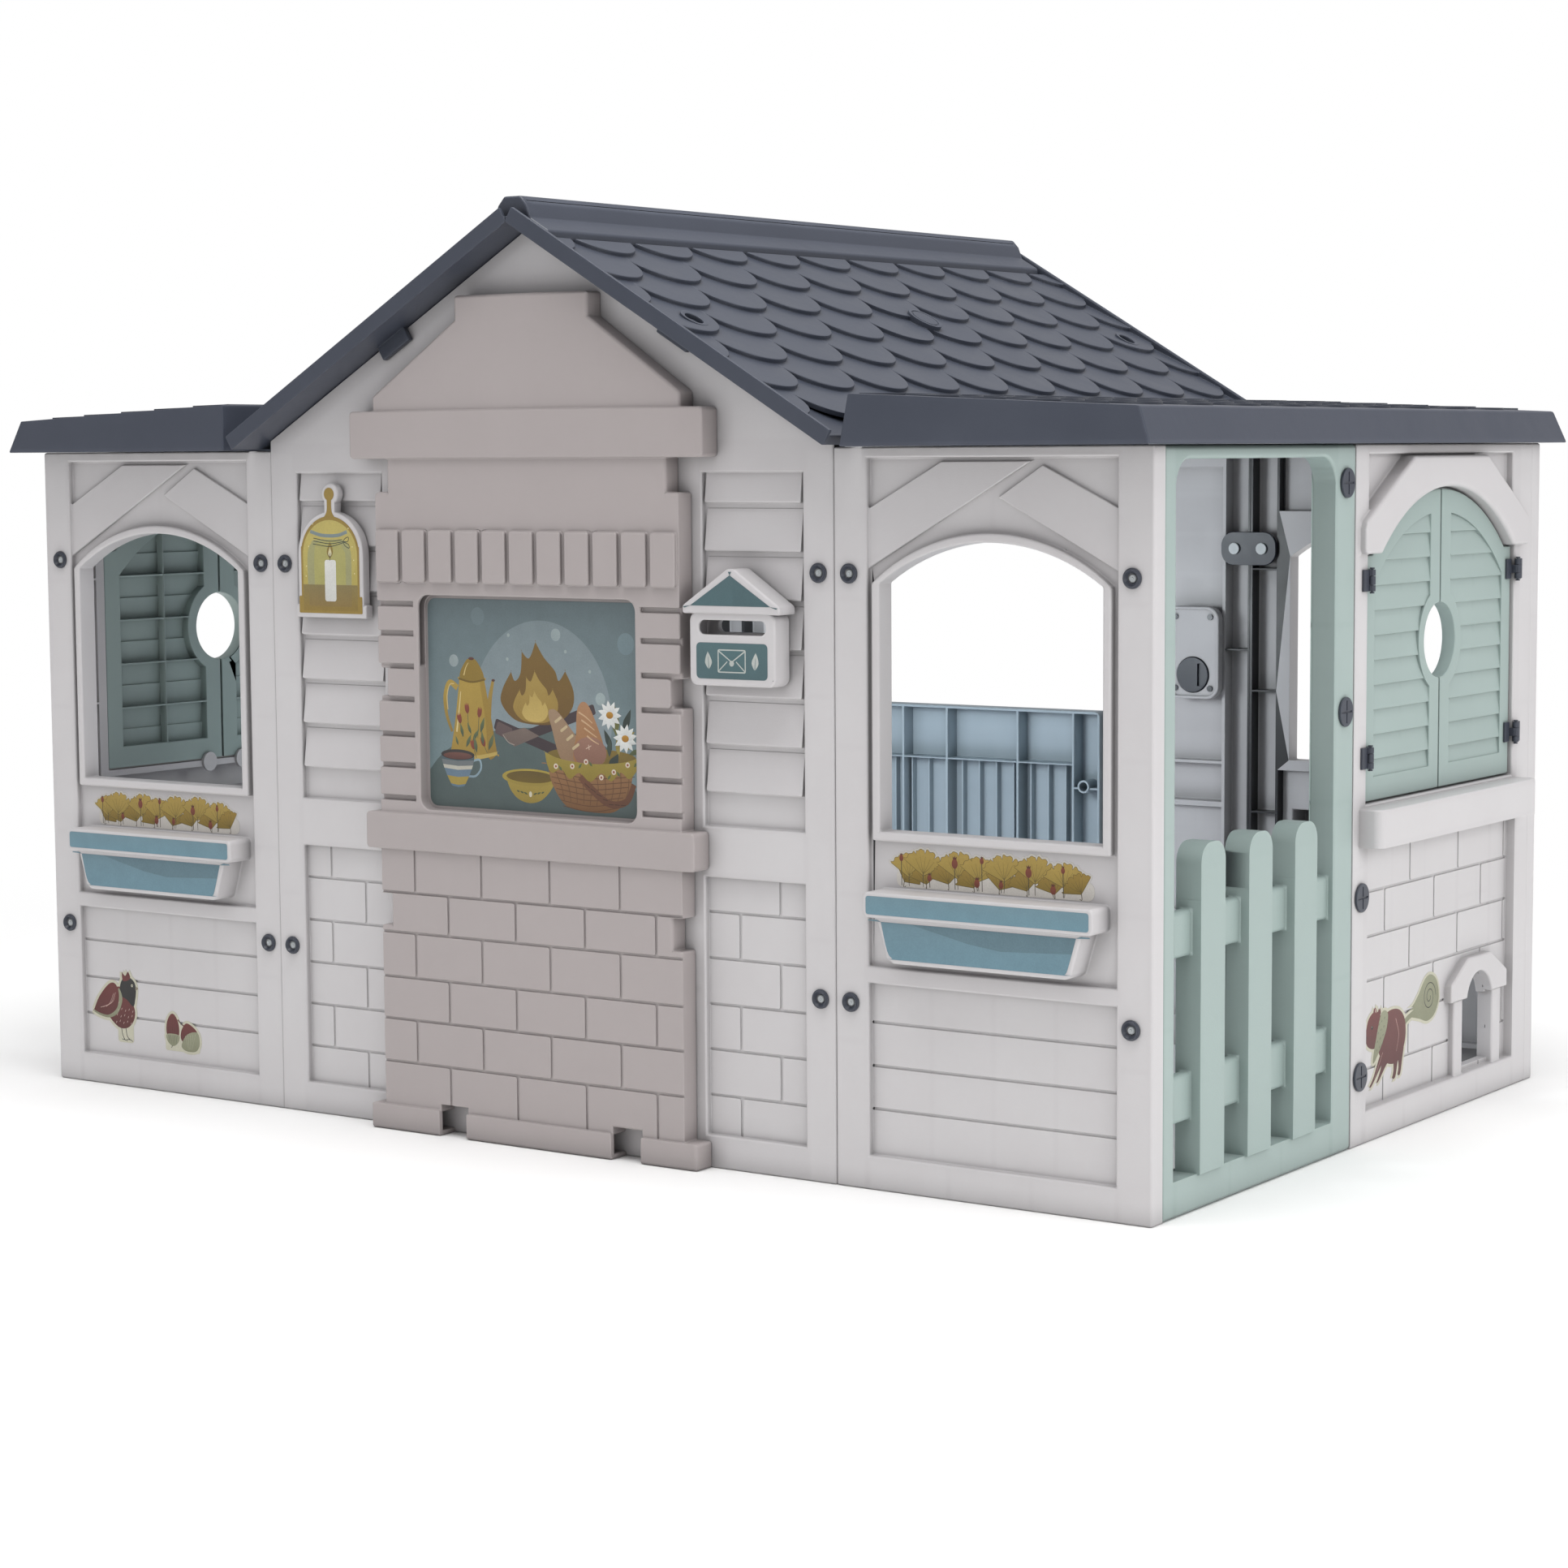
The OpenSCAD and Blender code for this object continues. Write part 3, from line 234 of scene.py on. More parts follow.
# %% Round an object's edges by what fits beside them
SHARP = math.radians(24)           # edges that turn more than this are rounded
FLAT = math.radians(0.6)           # faces that turn less than this are joined
WELD = 0.02 * MM
FINEST = 0.12 * MM                 # smaller roundings are left out
FACE_SHARE, EDGE_SHARE = 0.38, 0.42     # the most that a rounding takes of what lies beside it
STRAIGHT = 0.85                    # cosine above which two edges count as one line
SAME_PLANE = 0.999999              # cosine above which two faces count as one plane
SLANT = 0.37                       # radians, any turn that isn't a round number
INSIDE_DEPTH, PROUD_DEPTH = 13.5 * MM, -2 * MM


def depth_in_wall(point, across):
    """How far a point lies behind the outer face of its wall; proud points are negative."""
    if across == "y":
        return HALF_DEPTH - abs(point.y)
    return HALF_LENGTH - abs(point.x)


def side_width(face, edge):
    return face.calc_area() / max(edge.calc_length(), 1e-6)


def wished_radius(edge, rule):
    middle = (edge.verts[0].co + edge.verts[1].co) / 2
    return rule(middle, hollow=not edge.is_convex)


def chains(edges):
    """Groups of sharp edges that follow one another with no corner between them."""
    group = {edge: edge for edge in edges}

    def root(edge):
        while group[edge] is not edge:
            edge = group[edge]
        return edge

    at_vertex = {}
    for edge in edges:
        for vert in edge.verts:
            at_vertex.setdefault(vert, []).append(edge)
    for vert, meeting in at_vertex.items():
        for i, a in enumerate(meeting):
            for b in meeting[i + 1:]:
                along_a = (a.other_vert(vert).co - vert.co).normalized()
                along_b = (b.other_vert(vert).co - vert.co).normalized()
                if along_a.dot(along_b) < -STRAIGHT and a.is_convex == b.is_convex:
                    group[root(a)] = root(b)
    result = {}
    for edge in edges:
        result.setdefault(root(edge), []).append(edge)
    return result.values()


def corner_limit(edge, sharp):
    """The shortest other sharp edge that leaves an end of this edge at a real angle."""
    shortest = 1.0
    for vert in edge.verts:
        along = (edge.other_vert(vert).co - vert.co).normalized()
        for other in vert.link_edges:
            if other is edge or other not in sharp:
                continue
            turn = (other.other_vert(vert).co - vert.co).normalized().dot(along)
            if abs(turn) < STRAIGHT:
                shortest = min(shortest, other.calc_length())
    return shortest


def edge_radii(bm, rule):
    sharp = dict.fromkeys(e for e in bm.edges
                          if len(e.link_faces) == 2 and e.calc_face_angle(0) > SHARP)
    radii = {}
    for edge in sharp:
        narrowest = min(side_width(face, edge) for face in edge.link_faces)
        radii[edge] = min(wished_radius(edge, rule), FACE_SHARE * narrowest,
                          EDGE_SHARE * corner_limit(edge, sharp))
    for chain in chains(list(sharp)):
        shared = min(radii[edge] for edge in chain)
        for edge in chain:
            radii[edge] = shared
    return radii


def round_edges(name, bm, rule, segments):
    bmesh.ops.remove_doubles(bm, verts=bm.verts, dist=WELD)
    bmesh.ops.dissolve_limit(bm, verts=bm.verts, edges=bm.edges, angle_limit=FLAT,
                             use_dissolve_boundaries=False, delimit=set())
    weights = bm.edges.layers.float.new("bevel_weight_edge")   # before any edge is remembered
    radii = edge_radii(bm, rule)
    widest = max(radii.values())
    for edge, radius in radii.items():
        edge[weights] = radius / widest if radius > FINEST else 0.0
    places = np.array([vert.co[:] for vert in bm.verts])
    mesh_low, mesh_high = places.min(axis=0), places.max(axis=0)
    piece = new_piece(name, bm)
    bevel = piece.modifiers.new("round", "BEVEL")
    bevel.limit_method = "WEIGHT"
    bevel.width = widest
    bevel.segments = segments
    bevel.use_clamp_overlap = False
    bevel.miter_outer = "MITER_SHARP"
    bake_modifiers(piece)
    refill_flat_faces(piece)
    hold_inside(piece, mesh_low, mesh_high)
    return piece


def hold_inside(piece, low, high):
    """A bevel can overshoot at a sharp inner corner, so no point may leave the solid's own box."""
    places = np.empty(len(piece.data.vertices) * 3)
    piece.data.vertices.foreach_get("co", places)
    places = np.clip(places.reshape(-1, 3), low, high)
    piece.data.vertices.foreach_set("co", places.ravel())
    piece.data.update()


def flat_regions(bm):
    """Groups of faces that lie side by side in one plane, where one of them has many corners."""
    bm.faces.ensure_lookup_table()
    seen = set()
    for start in bm.faces:
        if start in seen or len(start.verts) <= 4:
            continue
        region, queue = [], [start]
        seen.add(start)
        while queue:
            face = queue.pop()
            region.append(face)
            for edge in face.edges:
                for other in edge.link_faces:
                    if other not in seen and other.normal.dot(start.normal) > SAME_PLANE:
                        seen.add(other)
                        queue.append(other)
        yield region


def ray_hits(points, starts, ends):
    """Which edges a level ray from each point crosses, as a table of points by edges."""
    above_a = starts[None, :, 1] > points[:, None, 1]
    above_b = ends[None, :, 1] > points[:, None, 1]
    rise = ends[:, 1] - starts[:, 1]
    rise = np.where(np.abs(rise) < 1e-12, 1e-12, rise)
    share = (points[:, None, 1] - starts[None, :, 1]) / rise[None, :]
    crossing = starts[None, :, 0] + share * (ends[:, 0] - starts[:, 0])[None, :]
    return (above_a != above_b) & (crossing > points[:, None, 0])


def refill_flat_faces(piece):
    """Fills each flat region again with triangles that respect its holes."""
    bm = bmesh.new()
    bm.from_mesh(piece.data)
    bm.normal_update()
    for region in list(flat_regions(bm)):
        members = set(region)
        normal = max(region, key=lambda face: face.calc_area()).normal.copy()
        # A slanted view of the plane keeps the level test rays off the upright and level edges.
        upright = normal.rotation_difference(Vector((0, 0, 1))).to_matrix()
        to_plane = Matrix.Rotation(SLANT, 3, "Z") @ upright
        outline = [edge for face in region for edge in face.edges
                   if sum(other in members for other in edge.link_faces) == 1]
        corners = list(dict.fromkeys(vert for edge in outline for vert in edge.verts))
        number = {vert: i for i, vert in enumerate(corners)}
        flat = [(to_plane @ vert.co).to_2d() for vert in corners]
        pairs = [[number[vert] for vert in edge.verts] for edge in outline]
        points, _, triangles, origins, _, _ = delaunay_2d_cdt(flat, pairs, [], 0, 1e-7, True)
        places = np.array([point[:] for point in points])
        ends = np.array([[flat[i][:] for i in pair] for pair in pairs])
        middles = np.array([places[triangle].mean(axis=0) for triangle in triangles])
        # A point lies inside closed outlines where its ray crosses an odd number of edges.
        kept = ray_hits(middles, ends[:, 0], ends[:, 1]).sum(axis=1) % 2 == 1
        height = (to_plane @ corners[0].co).z
        back = to_plane.inverted()
        made = [corners[origins[i][0]] if origins[i] else
                bm.verts.new(back @ Vector((point.x, point.y, height)))
                for i, point in enumerate(points)]
        bmesh.ops.delete(bm, geom=region, context="FACES_ONLY")
        for triangle, inside in zip(triangles, kept):
            verts = [made[i] for i in triangle]
            if inside and len(set(verts)) == 3 and not bm.faces.get(verts):
                bm.faces.new(verts)
    loose = [edge for edge in bm.edges if not edge.link_faces]
    bmesh.ops.delete(bm, geom=loose, context="EDGES")
    loose = [vert for vert in bm.verts if not vert.link_edges]
    bmesh.ops.delete(bm, geom=loose, context="VERTS")
    bm.to_mesh(piece.data)
    bm.free()


def bake_modifiers(piece):
    """Replaces a piece's mesh by the one its modifiers make."""
    graph = bpy.context.evaluated_depsgraph_get()
    made = bpy.data.meshes.new_from_object(piece.evaluated_get(graph))
    old = piece.data
    piece.modifiers.clear()
    piece.data = made
    made.name = piece.name
    bpy.data.meshes.remove(old)


def even_shading(piece, angle=35):
    """Corner normals: each corner averages the faces at its point that lean less than
    the angle from its own face, and large faces lead, so flat faces stay flat."""
    mesh = piece.data
    mesh.polygons.foreach_set("use_smooth", [True] * len(mesh.polygons))
    facing = np.empty(len(mesh.polygons) * 3)
    areas = np.empty(len(mesh.polygons))
    corner_vertex = np.empty(len(mesh.loops), dtype=int)
    mesh.polygons.foreach_get("normal", facing)
    mesh.polygons.foreach_get("area", areas)
    mesh.loops.foreach_get("vertex_index", corner_vertex)
    counts = np.empty(len(mesh.polygons), dtype=int)
    mesh.polygons.foreach_get("loop_total", counts)
    corner_face = np.repeat(np.arange(len(mesh.polygons)), counts)
    order = np.argsort(corner_vertex, kind="stable")
    vertex, face = corner_vertex[order], corner_face[order]
    normal = facing.reshape(-1, 3)[face]
    pull = normal * (areas[face] ** 2)[:, None]
    total = pull.copy()
    limit = math.cos(math.radians(angle))
    for shift in range(1, len(vertex)):
        first = np.nonzero(vertex[shift:] == vertex[:-shift])[0]
        if len(first) == 0:
            break
        second = first + shift
        close = (normal[first] * normal[second]).sum(axis=1) > limit
        first, second = first[close], second[close]
        total[first] += pull[second]
        total[second] += pull[first]
    length = np.linalg.norm(total, axis=1, keepdims=True)
    normals = np.empty_like(total)
    normals[order] = np.where(length > 1e-20, total / np.maximum(length, 1e-20), normal)
    mesh.normals_split_custom_set(normals)


def plain_rule(convex, concave):
    """A rule that wishes one radius for outer edges and one for inner corners."""
    def rule(middle, hollow):
        return concave if hollow else convex
    return rule


def wall_rule(across, proud, face, inside, fillet):
    """Rounder edges on what stands proud, fine ones on the back of a panel."""
    def rule(middle, hollow):
        depth = depth_in_wall(middle, across)
        if depth > INSIDE_DEPTH:
            return inside
        if hollow:
            return fillet
        return proud if depth < PROUD_DEPTH else face
    return rule


def soften(node, material, rule, segments=2):
    source = frame["nodes"][node]
    bm = bmesh.new()
    bm.from_mesh(source.data)
    piece = round_edges(node + "_moulding", bm, rule, segments)
    piece.data.materials.clear()
    piece.data.materials.append(material)
    even_shading(piece)
    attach(piece, body_of_node[node])
    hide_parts(node)
    print(piece.name, "faces", len(source.data.polygons), "to", len(piece.data.polygons))
    return piece


# %% [markdown]
# ## Wall panels
# The long walls face the front and back, the end walls face left and right. Hoods, sills,
# planters and mouldings that stand proud are the roundest, and the outlines of panels and
# sunk fields are less so.

# %% Round the wall panels, the fireplace and the frames
LONG_WALLS = ["front_left_wall", "front_right_wall", "back_left_wall", "back_right_wall",
              "front_gable_wall", "back_gable_wall"]
END_WALLS = ["right_shutter_wall", "left_shutter_wall"]
SEAM_CHANNEL = (0.381, 0.461)     # from the house's middle, on both sides of each bolted seam


def paint_seam_shade(piece):
    """Inside, the faces beside each bolted seam are made near-black: painted shade for the hollow channel
    between its two flanges.
    """
    mesh = piece.data
    mesh.materials.append(seam_channel_shade)
    for face in mesh.polygons:
        beside = SEAM_CHANNEL[0] < abs(face.center.x) < SEAM_CHANNEL[1]
        face.material_index = 1 if beside and depth_in_wall(face.center, "y") > 8 * MM else 0


for node in LONG_WALLS:
    wall = soften(node, wall_grey, wall_rule("y", 5 * MM, 2.6 * MM, 0.5 * MM, 1.8 * MM), segments=3)
    paint_seam_shade(wall)
for node in END_WALLS:
    soften(node, wall_grey, wall_rule("x", 6 * MM, 2.6 * MM, 0.5 * MM, 1.8 * MM), segments=3)
soften("fireplace", hearth_taupe, wall_rule("y", 4 * MM, 2 * MM, 0.5 * MM, 1.5 * MM), segments=3)
for node in ["right_door_frame", "left_door_frame"]:
    soften(node, sage_green, plain_rule(5 * MM, 1.5 * MM), segments=3)
for side in ["right", "left"]:
    for leaf in "ab":
        soften(f"{side}_shutter_{leaf}", sage_green, plain_rule(2.2 * MM, 1.0 * MM))
soften("half_door", door_blue, plain_rule(1.6 * MM, 0.8 * MM))
soften("mailbox", wall_grey, plain_rule(3 * MM, 1 * MM), segments=3)
soften("lantern_plaque", wall_grey, plain_rule(3 * MM, 1 * MM), segments=3)
soften("battery_box", wall_grey, plain_rule(1.6 * MM, 0.8 * MM))

# %% [markdown]
# ## Roof
# The slopes, their ridge cap and the two wing roofs are one dark slate plastic.

# %% Round the roof
for node in ["roof_left", "roof_right"]:
    soften(node, roof_slate, plain_rule(2.2 * MM, 1.0 * MM))
for node in ["wing_roof_left", "wing_roof_right"]:
    soften(node, roof_slate, plain_rule(3 * MM, 0.8 * MM))
soften("ridge_cap", roof_slate, plain_rule(3 * MM, 1.5 * MM), segments=3)

# %% [markdown]
# ## Small hardware
# Hinge halves, screws, connector plates and the battery cap are small black mouldings with
# fine edges. The hinge pins and the battery screws keep their CAD mesh, and only get their
# finish, because they are too small and too deep in their holes for a rounding to show.

# %% Hinges, screws and plates
for node in ["hinge_brackets", "right_shutter_a_hinges", "right_shutter_b_hinges",
             "left_shutter_a_hinges", "left_shutter_b_hinges", "half_door_hinges",
             "connector_plates", "frame_screws", "battery_box_cap", "roof_screws"]:
    soften(node, hinge_black, plain_rule(0.8 * MM, 0.4 * MM))
for node, material in [("hinge_pins", hinge_black), ("battery_box_screws", screw_steel)]:
    frame["nodes"][node].data.materials.clear()
    frame["nodes"][node].data.materials.append(material)

# %% [markdown]
# ## Shapes for printed labels
# The labels are digitally printed vinyl, die-cut and stuck on. Their pictures are drawn
# here from a few kinds of outline in millimetres: loops through handles, ovals, rounded
# panels, leaves and ribbons. An outline is only a list of points, so it can be moved,
# turned and scaled as often as a picture needs it.

# %% Outlines
def points_of(handles):
    return np.array(handles, dtype=float)


def bent(before, here, after, beyond, t):
    """A Catmull-Rom curve: the place at share t of the way from here to after."""
    return 0.5 * (2 * here + (after - before) * t
                  + (2 * before - 5 * here + 4 * after - beyond) * t ** 2
                  + (3 * here - before - 3 * after + beyond) * t ** 3)


def loop(handles, steps=6):
    """A closed smooth curve through its handles; a handle given twice makes a corner."""
    p = points_of(handles)
    around = np.roll(p, 1, axis=0), p, np.roll(p, -1, axis=0), np.roll(p, -2, axis=0)
    rows = [bent(*around, t) for t in np.arange(steps) / steps]
    return np.stack(rows, axis=1).reshape(-1, 2)


def path(handles, steps=6):
    """An open smooth curve through its handles."""
    p = points_of(handles)
    p = np.vstack([2 * p[0] - p[1], p, 2 * p[-1] - p[-2]])
    rows = [bent(*p[i:i + 4], t) for i in range(len(p) - 3) for t in np.arange(steps) / steps]
    return np.array(rows + [p[-2]])


def ribbon(line, width, end_width=None):
    """A stroke along a line that may grow thinner towards its end."""
    line = points_of(line)
    along = np.gradient(line, axis=0)
    along /= np.maximum(np.linalg.norm(along, axis=1, keepdims=True), 1e-9)
    aside = np.stack([-along[:, 1], along[:, 0]], axis=1)
    half = np.linspace(width, width if end_width is None else end_width, len(line))[:, None] / 2
    return np.vstack([line + aside * half, (line - aside * half)[::-1]])


def stroke(handles, width, low, high=None, end_width=None):
    """A smooth line of ink through its handles."""
    line = ribbon(path(handles), width, end_width)
    return line, low, high or low


def oval(u, v, across, up=None, count=32):
    up = across if up is None else up
    angle = np.linspace(0, 2 * math.pi, count, endpoint=False)
    return np.stack([u + across * np.cos(angle), v + up * np.sin(angle)], axis=1)


def panel(left, low, right, high, radius, count=6):
    """A rectangle with round corners."""
    rows = []
    for u, v, start in [(right - radius, high - radius, 0), (left + radius, high - radius, 90),
                        (left + radius, low + radius, 180), (right - radius, low + radius, 270)]:
        for angle in np.radians(np.linspace(start, start + 90, count)):
            rows.append((u + radius * math.cos(angle), v + radius * math.sin(angle)))
    return np.array(rows)


def leaf(length, width, bend=0.0):
    """A pointed leaf from the origin upwards."""
    return loop([(0, 0), (0, 0), (-width * 0.5 + bend * 0.3, length * 0.4),
                 (-width * 0.3 + bend * 0.7, length * 0.75), (bend, length), (bend, length),
                 (width * 0.35 + bend * 0.7, length * 0.7), (width * 0.5 + bend * 0.3, length * 0.35)], 4)


def moved(outline, u, v, turn=0.0, scale=1.0, flip=False):
    angle = math.radians(turn)
    spin = np.array([[math.cos(angle), math.sin(angle)], [-math.sin(angle), math.cos(angle)]])
    flat = outline * scale * ([-1, 1] if flip else [1, 1])
    return flat @ spin + [u, v]


def grown(outline, by):
    """The same outline, moved outwards by a margin."""
    along = np.roll(outline, -1, axis=0) - np.roll(outline, 1, axis=0)
    along /= np.maximum(np.linalg.norm(along, axis=1, keepdims=True), 1e-9)
    after = np.roll(outline, -1, axis=0)
    area = np.sum(outline[:, 0] * after[:, 1] - after[:, 0] * outline[:, 1])
    return outline + np.stack([along[:, 1], -along[:, 0]], axis=1) * by * math.copysign(1, area)


# %% [markdown]
# ## Printing a label
# A real print has no thickness: all inks lie in one plane. So the outlines of all inks are
# cut into one triangle net, and each triangle takes the colour of the uppermost shape that
# covers it. The colours are kept in a colour attribute on the mesh, and every ink may fade
# from a lower to an upper tone. The film under the print is 0.25 mm thick.

# %% Vinyl and its printing
FILM = 0.25 * MM
SLIVER = 1e-5              # square millimetres below which a triangle is left out
LABEL_BODY = 0.8 * MM      # thickness of the plain label solids of the CAD model
CLOUD, TOOTH = 22 * MM, 1.6 * MM     # sizes of the pigment clouds and of the paper tooth


def printed_vinyl(name, roughness):
    """Gouache-like print under a satin laminate: soft pigment clouds and a faint paper tooth."""
    material, tree = new_material(name)
    where = add_node(tree, "ShaderNodeTexCoord").outputs["Object"]
    ink = add_node(tree, "ShaderNodeVertexColor", layer_name="ink")
    cloud = add_node(tree, "ShaderNodeTexNoise",
                     {"Vector": where, "Scale": 1 / CLOUD, "Detail": 5.0, "Roughness": 0.65})
    tooth = add_node(tree, "ShaderNodeTexNoise",
                     {"Vector": where, "Scale": 1 / TOOTH, "Detail": 2.0})
    value = add_node(tree, "ShaderNodeMath", {0: cloud.outputs["Fac"], 1: tooth.outputs["Fac"]},
                     operation="ADD")
    value = add_node(tree, "ShaderNodeMapRange",
                     {"Value": value.outputs[0], "From Min": 0.6, "From Max": 1.4,
                      "To Min": 0.90, "To Max": 1.10})
    tone = add_node(tree, "ShaderNodeHueSaturation",
                    {"Color": ink.outputs["Color"], "Value": value.outputs[0]})
    swell = add_node(tree, "ShaderNodeBump",
                     {"Height": cloud.outputs["Fac"], "Strength": 0.08, "Distance": 0.6 * MM})
    peel = add_node(tree, "ShaderNodeBump", {"Height": tooth.outputs["Fac"], "Strength": 0.05,
                                             "Distance": 0.1 * MM, "Normal": swell.outputs[0]})
    shader = add_node(tree, "ShaderNodeBsdfPrincipled",
                      {"Base Color": tone.outputs[0], "Roughness": roughness, "Normal": peel.outputs[0],
                       "Coat Weight": 0.12, "Coat Roughness": 0.3})
    add_node(tree, "ShaderNodeOutputMaterial", {"Surface": shader.outputs[0]})
    return material


vinyl = printed_vinyl("printed_vinyl", 0.5)


def winds_round(places, outline):
    """Which places an outline goes round, even where it crosses itself."""
    following = np.roll(outline, -1, axis=0)
    way = np.sign(following[:, 1] - outline[:, 1])
    return (ray_hits(places, outline, following) * way[None, :]).sum(axis=1) != 0


def fade(low, high, share):
    return [a + (b - a) * share for a, b in zip(linear(low), linear(high))]


def print_sheet(bm, film, base, inks, corner, right):
    """Adds one die-cut label: film outlines, base tones, and inks from lowest to uppermost."""
    colour_of = bm.loops.layers.float_color["ink"]
    layers = [(np.vstack(film), base[0], base[1])] + list(inks)
    outlines = list(film) + [ink[0] for ink in inks]
    points, pairs = [], []
    for outline in outlines:
        first, count = len(points), len(outline)
        points += [Vector(place) for place in outline]
        pairs += [(first + i, first + (i + 1) % count) for i in range(count)]
    spots, _, triangles, _, _, _ = delaunay_2d_cdt(points, pairs, [], 0, 1e-3, False)
    spots = np.array([spot[:] for spot in spots])
    triangles = np.array([list(triangle) for triangle in triangles])
    middles = spots[triangles].mean(axis=1)
    covered = np.zeros(len(middles), dtype=bool)
    for outline in film:
        covered |= winds_round(middles, outline)
    top = np.zeros(len(middles), dtype=int)
    for number, (outline, _, _) in enumerate(inks):
        top[winds_round(middles, outline)] = number + 1
    spans = [(layer[0][:, 1].min(), np.ptp(layer[0][:, 1]) + 1e-6) for layer in layers]
    up, right = Vector((0, 0, 1)), Vector(right)
    outward = right.cross(up)
    front, back = {}, {}

    def vertex(number, store, depth):
        if number not in store:
            u, v = spots[number] * MM
            store[number] = bm.verts.new(corner + right * u + up * v - outward * depth)
        return store[number]

    def paint(face, layer, heights):
        low_v, span = spans[layer]
        for spot_loop, height in zip(face.loops, heights):
            spot_loop[colour_of] = fade(layers[layer][1], layers[layer][2], (height - low_v) / span)

    edges = {}
    for triangle, layer, inside in zip(triangles, top, covered):
        if not inside:
            continue
        a, b, c = spots[triangle]
        twice_area = abs((b[0] - a[0]) * (c[1] - a[1]) - (b[1] - a[1]) * (c[0] - a[0]))
        if twice_area < SLIVER:
            continue
        heights = spots[triangle][:, 1]
        paint(bm.faces.new([vertex(i, front, 0.0) for i in triangle]), layer, heights)
        paint(bm.faces.new([vertex(i, back, FILM) for i in triangle[::-1]]), 0, heights[::-1])
        for i, j in zip(triangle, np.roll(triangle, -1)):
            edges[(i, j)] = layer
    for (i, j) in [pair for pair in edges if (pair[1], pair[0]) not in edges]:
        rim = bm.faces.new([front[j], front[i], back[i], back[j]])
        paint(rim, 0, [spots[j][1], spots[i][1], spots[i][1], spots[j][1]])


def print_label(node, sheets):
    """Prints all sheets of one label node: (film, base, inks, corner, right) each."""
    bm = bmesh.new()
    bm.loops.layers.float_color.new("ink")
    for sheet in sheets:
        print_sheet(bm, *sheet)
    piece = new_piece(node + "_print", bm)
    piece.data.materials.append(vinyl)
    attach(piece, "house")
    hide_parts(node)
    print(piece.name, "faces", len(piece.data.polygons))


# %% [markdown]
# ## The picture in the fireplace
# Children play at cooking here. The picture is an evening camp of our own: a fire on
# logs, a coffee pot with tulips, a striped cup, a bowl, and a basket with bread and
# daisies. Every object is built from a few fading shapes, from back to front.

# %% Fire picture
OCHRE, DEEP_OCHRE, BRICK, INK = "#a58a3e", "#8f7431", "#7b3f2e", "#2f3a38"


def flame(u, v, width, height):
    """A fire with a tall tongue, a lower one left of it and small ones at the sides."""
    shape = loop([(0.0, 0.0), (-0.28, 0.05), (-0.46, 0.24), (-0.44, 0.42), (-0.32, 0.63), (-0.32, 0.63),
                  (-0.27, 0.52), (-0.19, 0.62), (-0.17, 0.88), (-0.17, 0.88), (-0.07, 0.80), (0.02, 1.0),
                  (0.02, 1.0), (0.13, 0.82), (0.28, 0.66), (0.33, 0.54), (0.42, 0.66), (0.42, 0.66),
                  (0.53, 0.42), (0.50, 0.2), (0.30, 0.03)], 5)
    return shape * [width, height] + [u, v]


def log(u, v, length, thick, turn):
    body = panel(0, -thick / 2, length, thick / 2, thick * 0.2)
    return moved(body, u, v, turn)


def tulip(u, v, turn, size):
    """A bud with three points on a stem."""
    bud = loop([(0, 0), (-2.6, 3.0), (-3.0, 8.0), (-2.0, 11.5), (-2.0, 11.5), (-1.0, 9.0), (0, 12.5),
                (0, 12.5),
                (1.0, 9.0), (2.2, 11.5), (2.2, 11.5), (3.0, 8.0), (2.6, 3.0)], 3)
    return moved(bud, u, v, turn, size)


def daisy(inks, u, v, size, turn):
    for petal in range(11):
        inks.append((moved(leaf(size, size * 0.42), u, v, turn + petal * 360 / 11), "#c9ccca", "#e6e7e3"))
    inks.append((oval(u, v, size * 0.30, size * 0.24, 16), "#9a6a22", "#b98a33"))


def cup_half(v):
    """Half the width of the striped cup at one height."""
    return 25.5 - 16 * ((-62 - v) / 36) ** 1.5


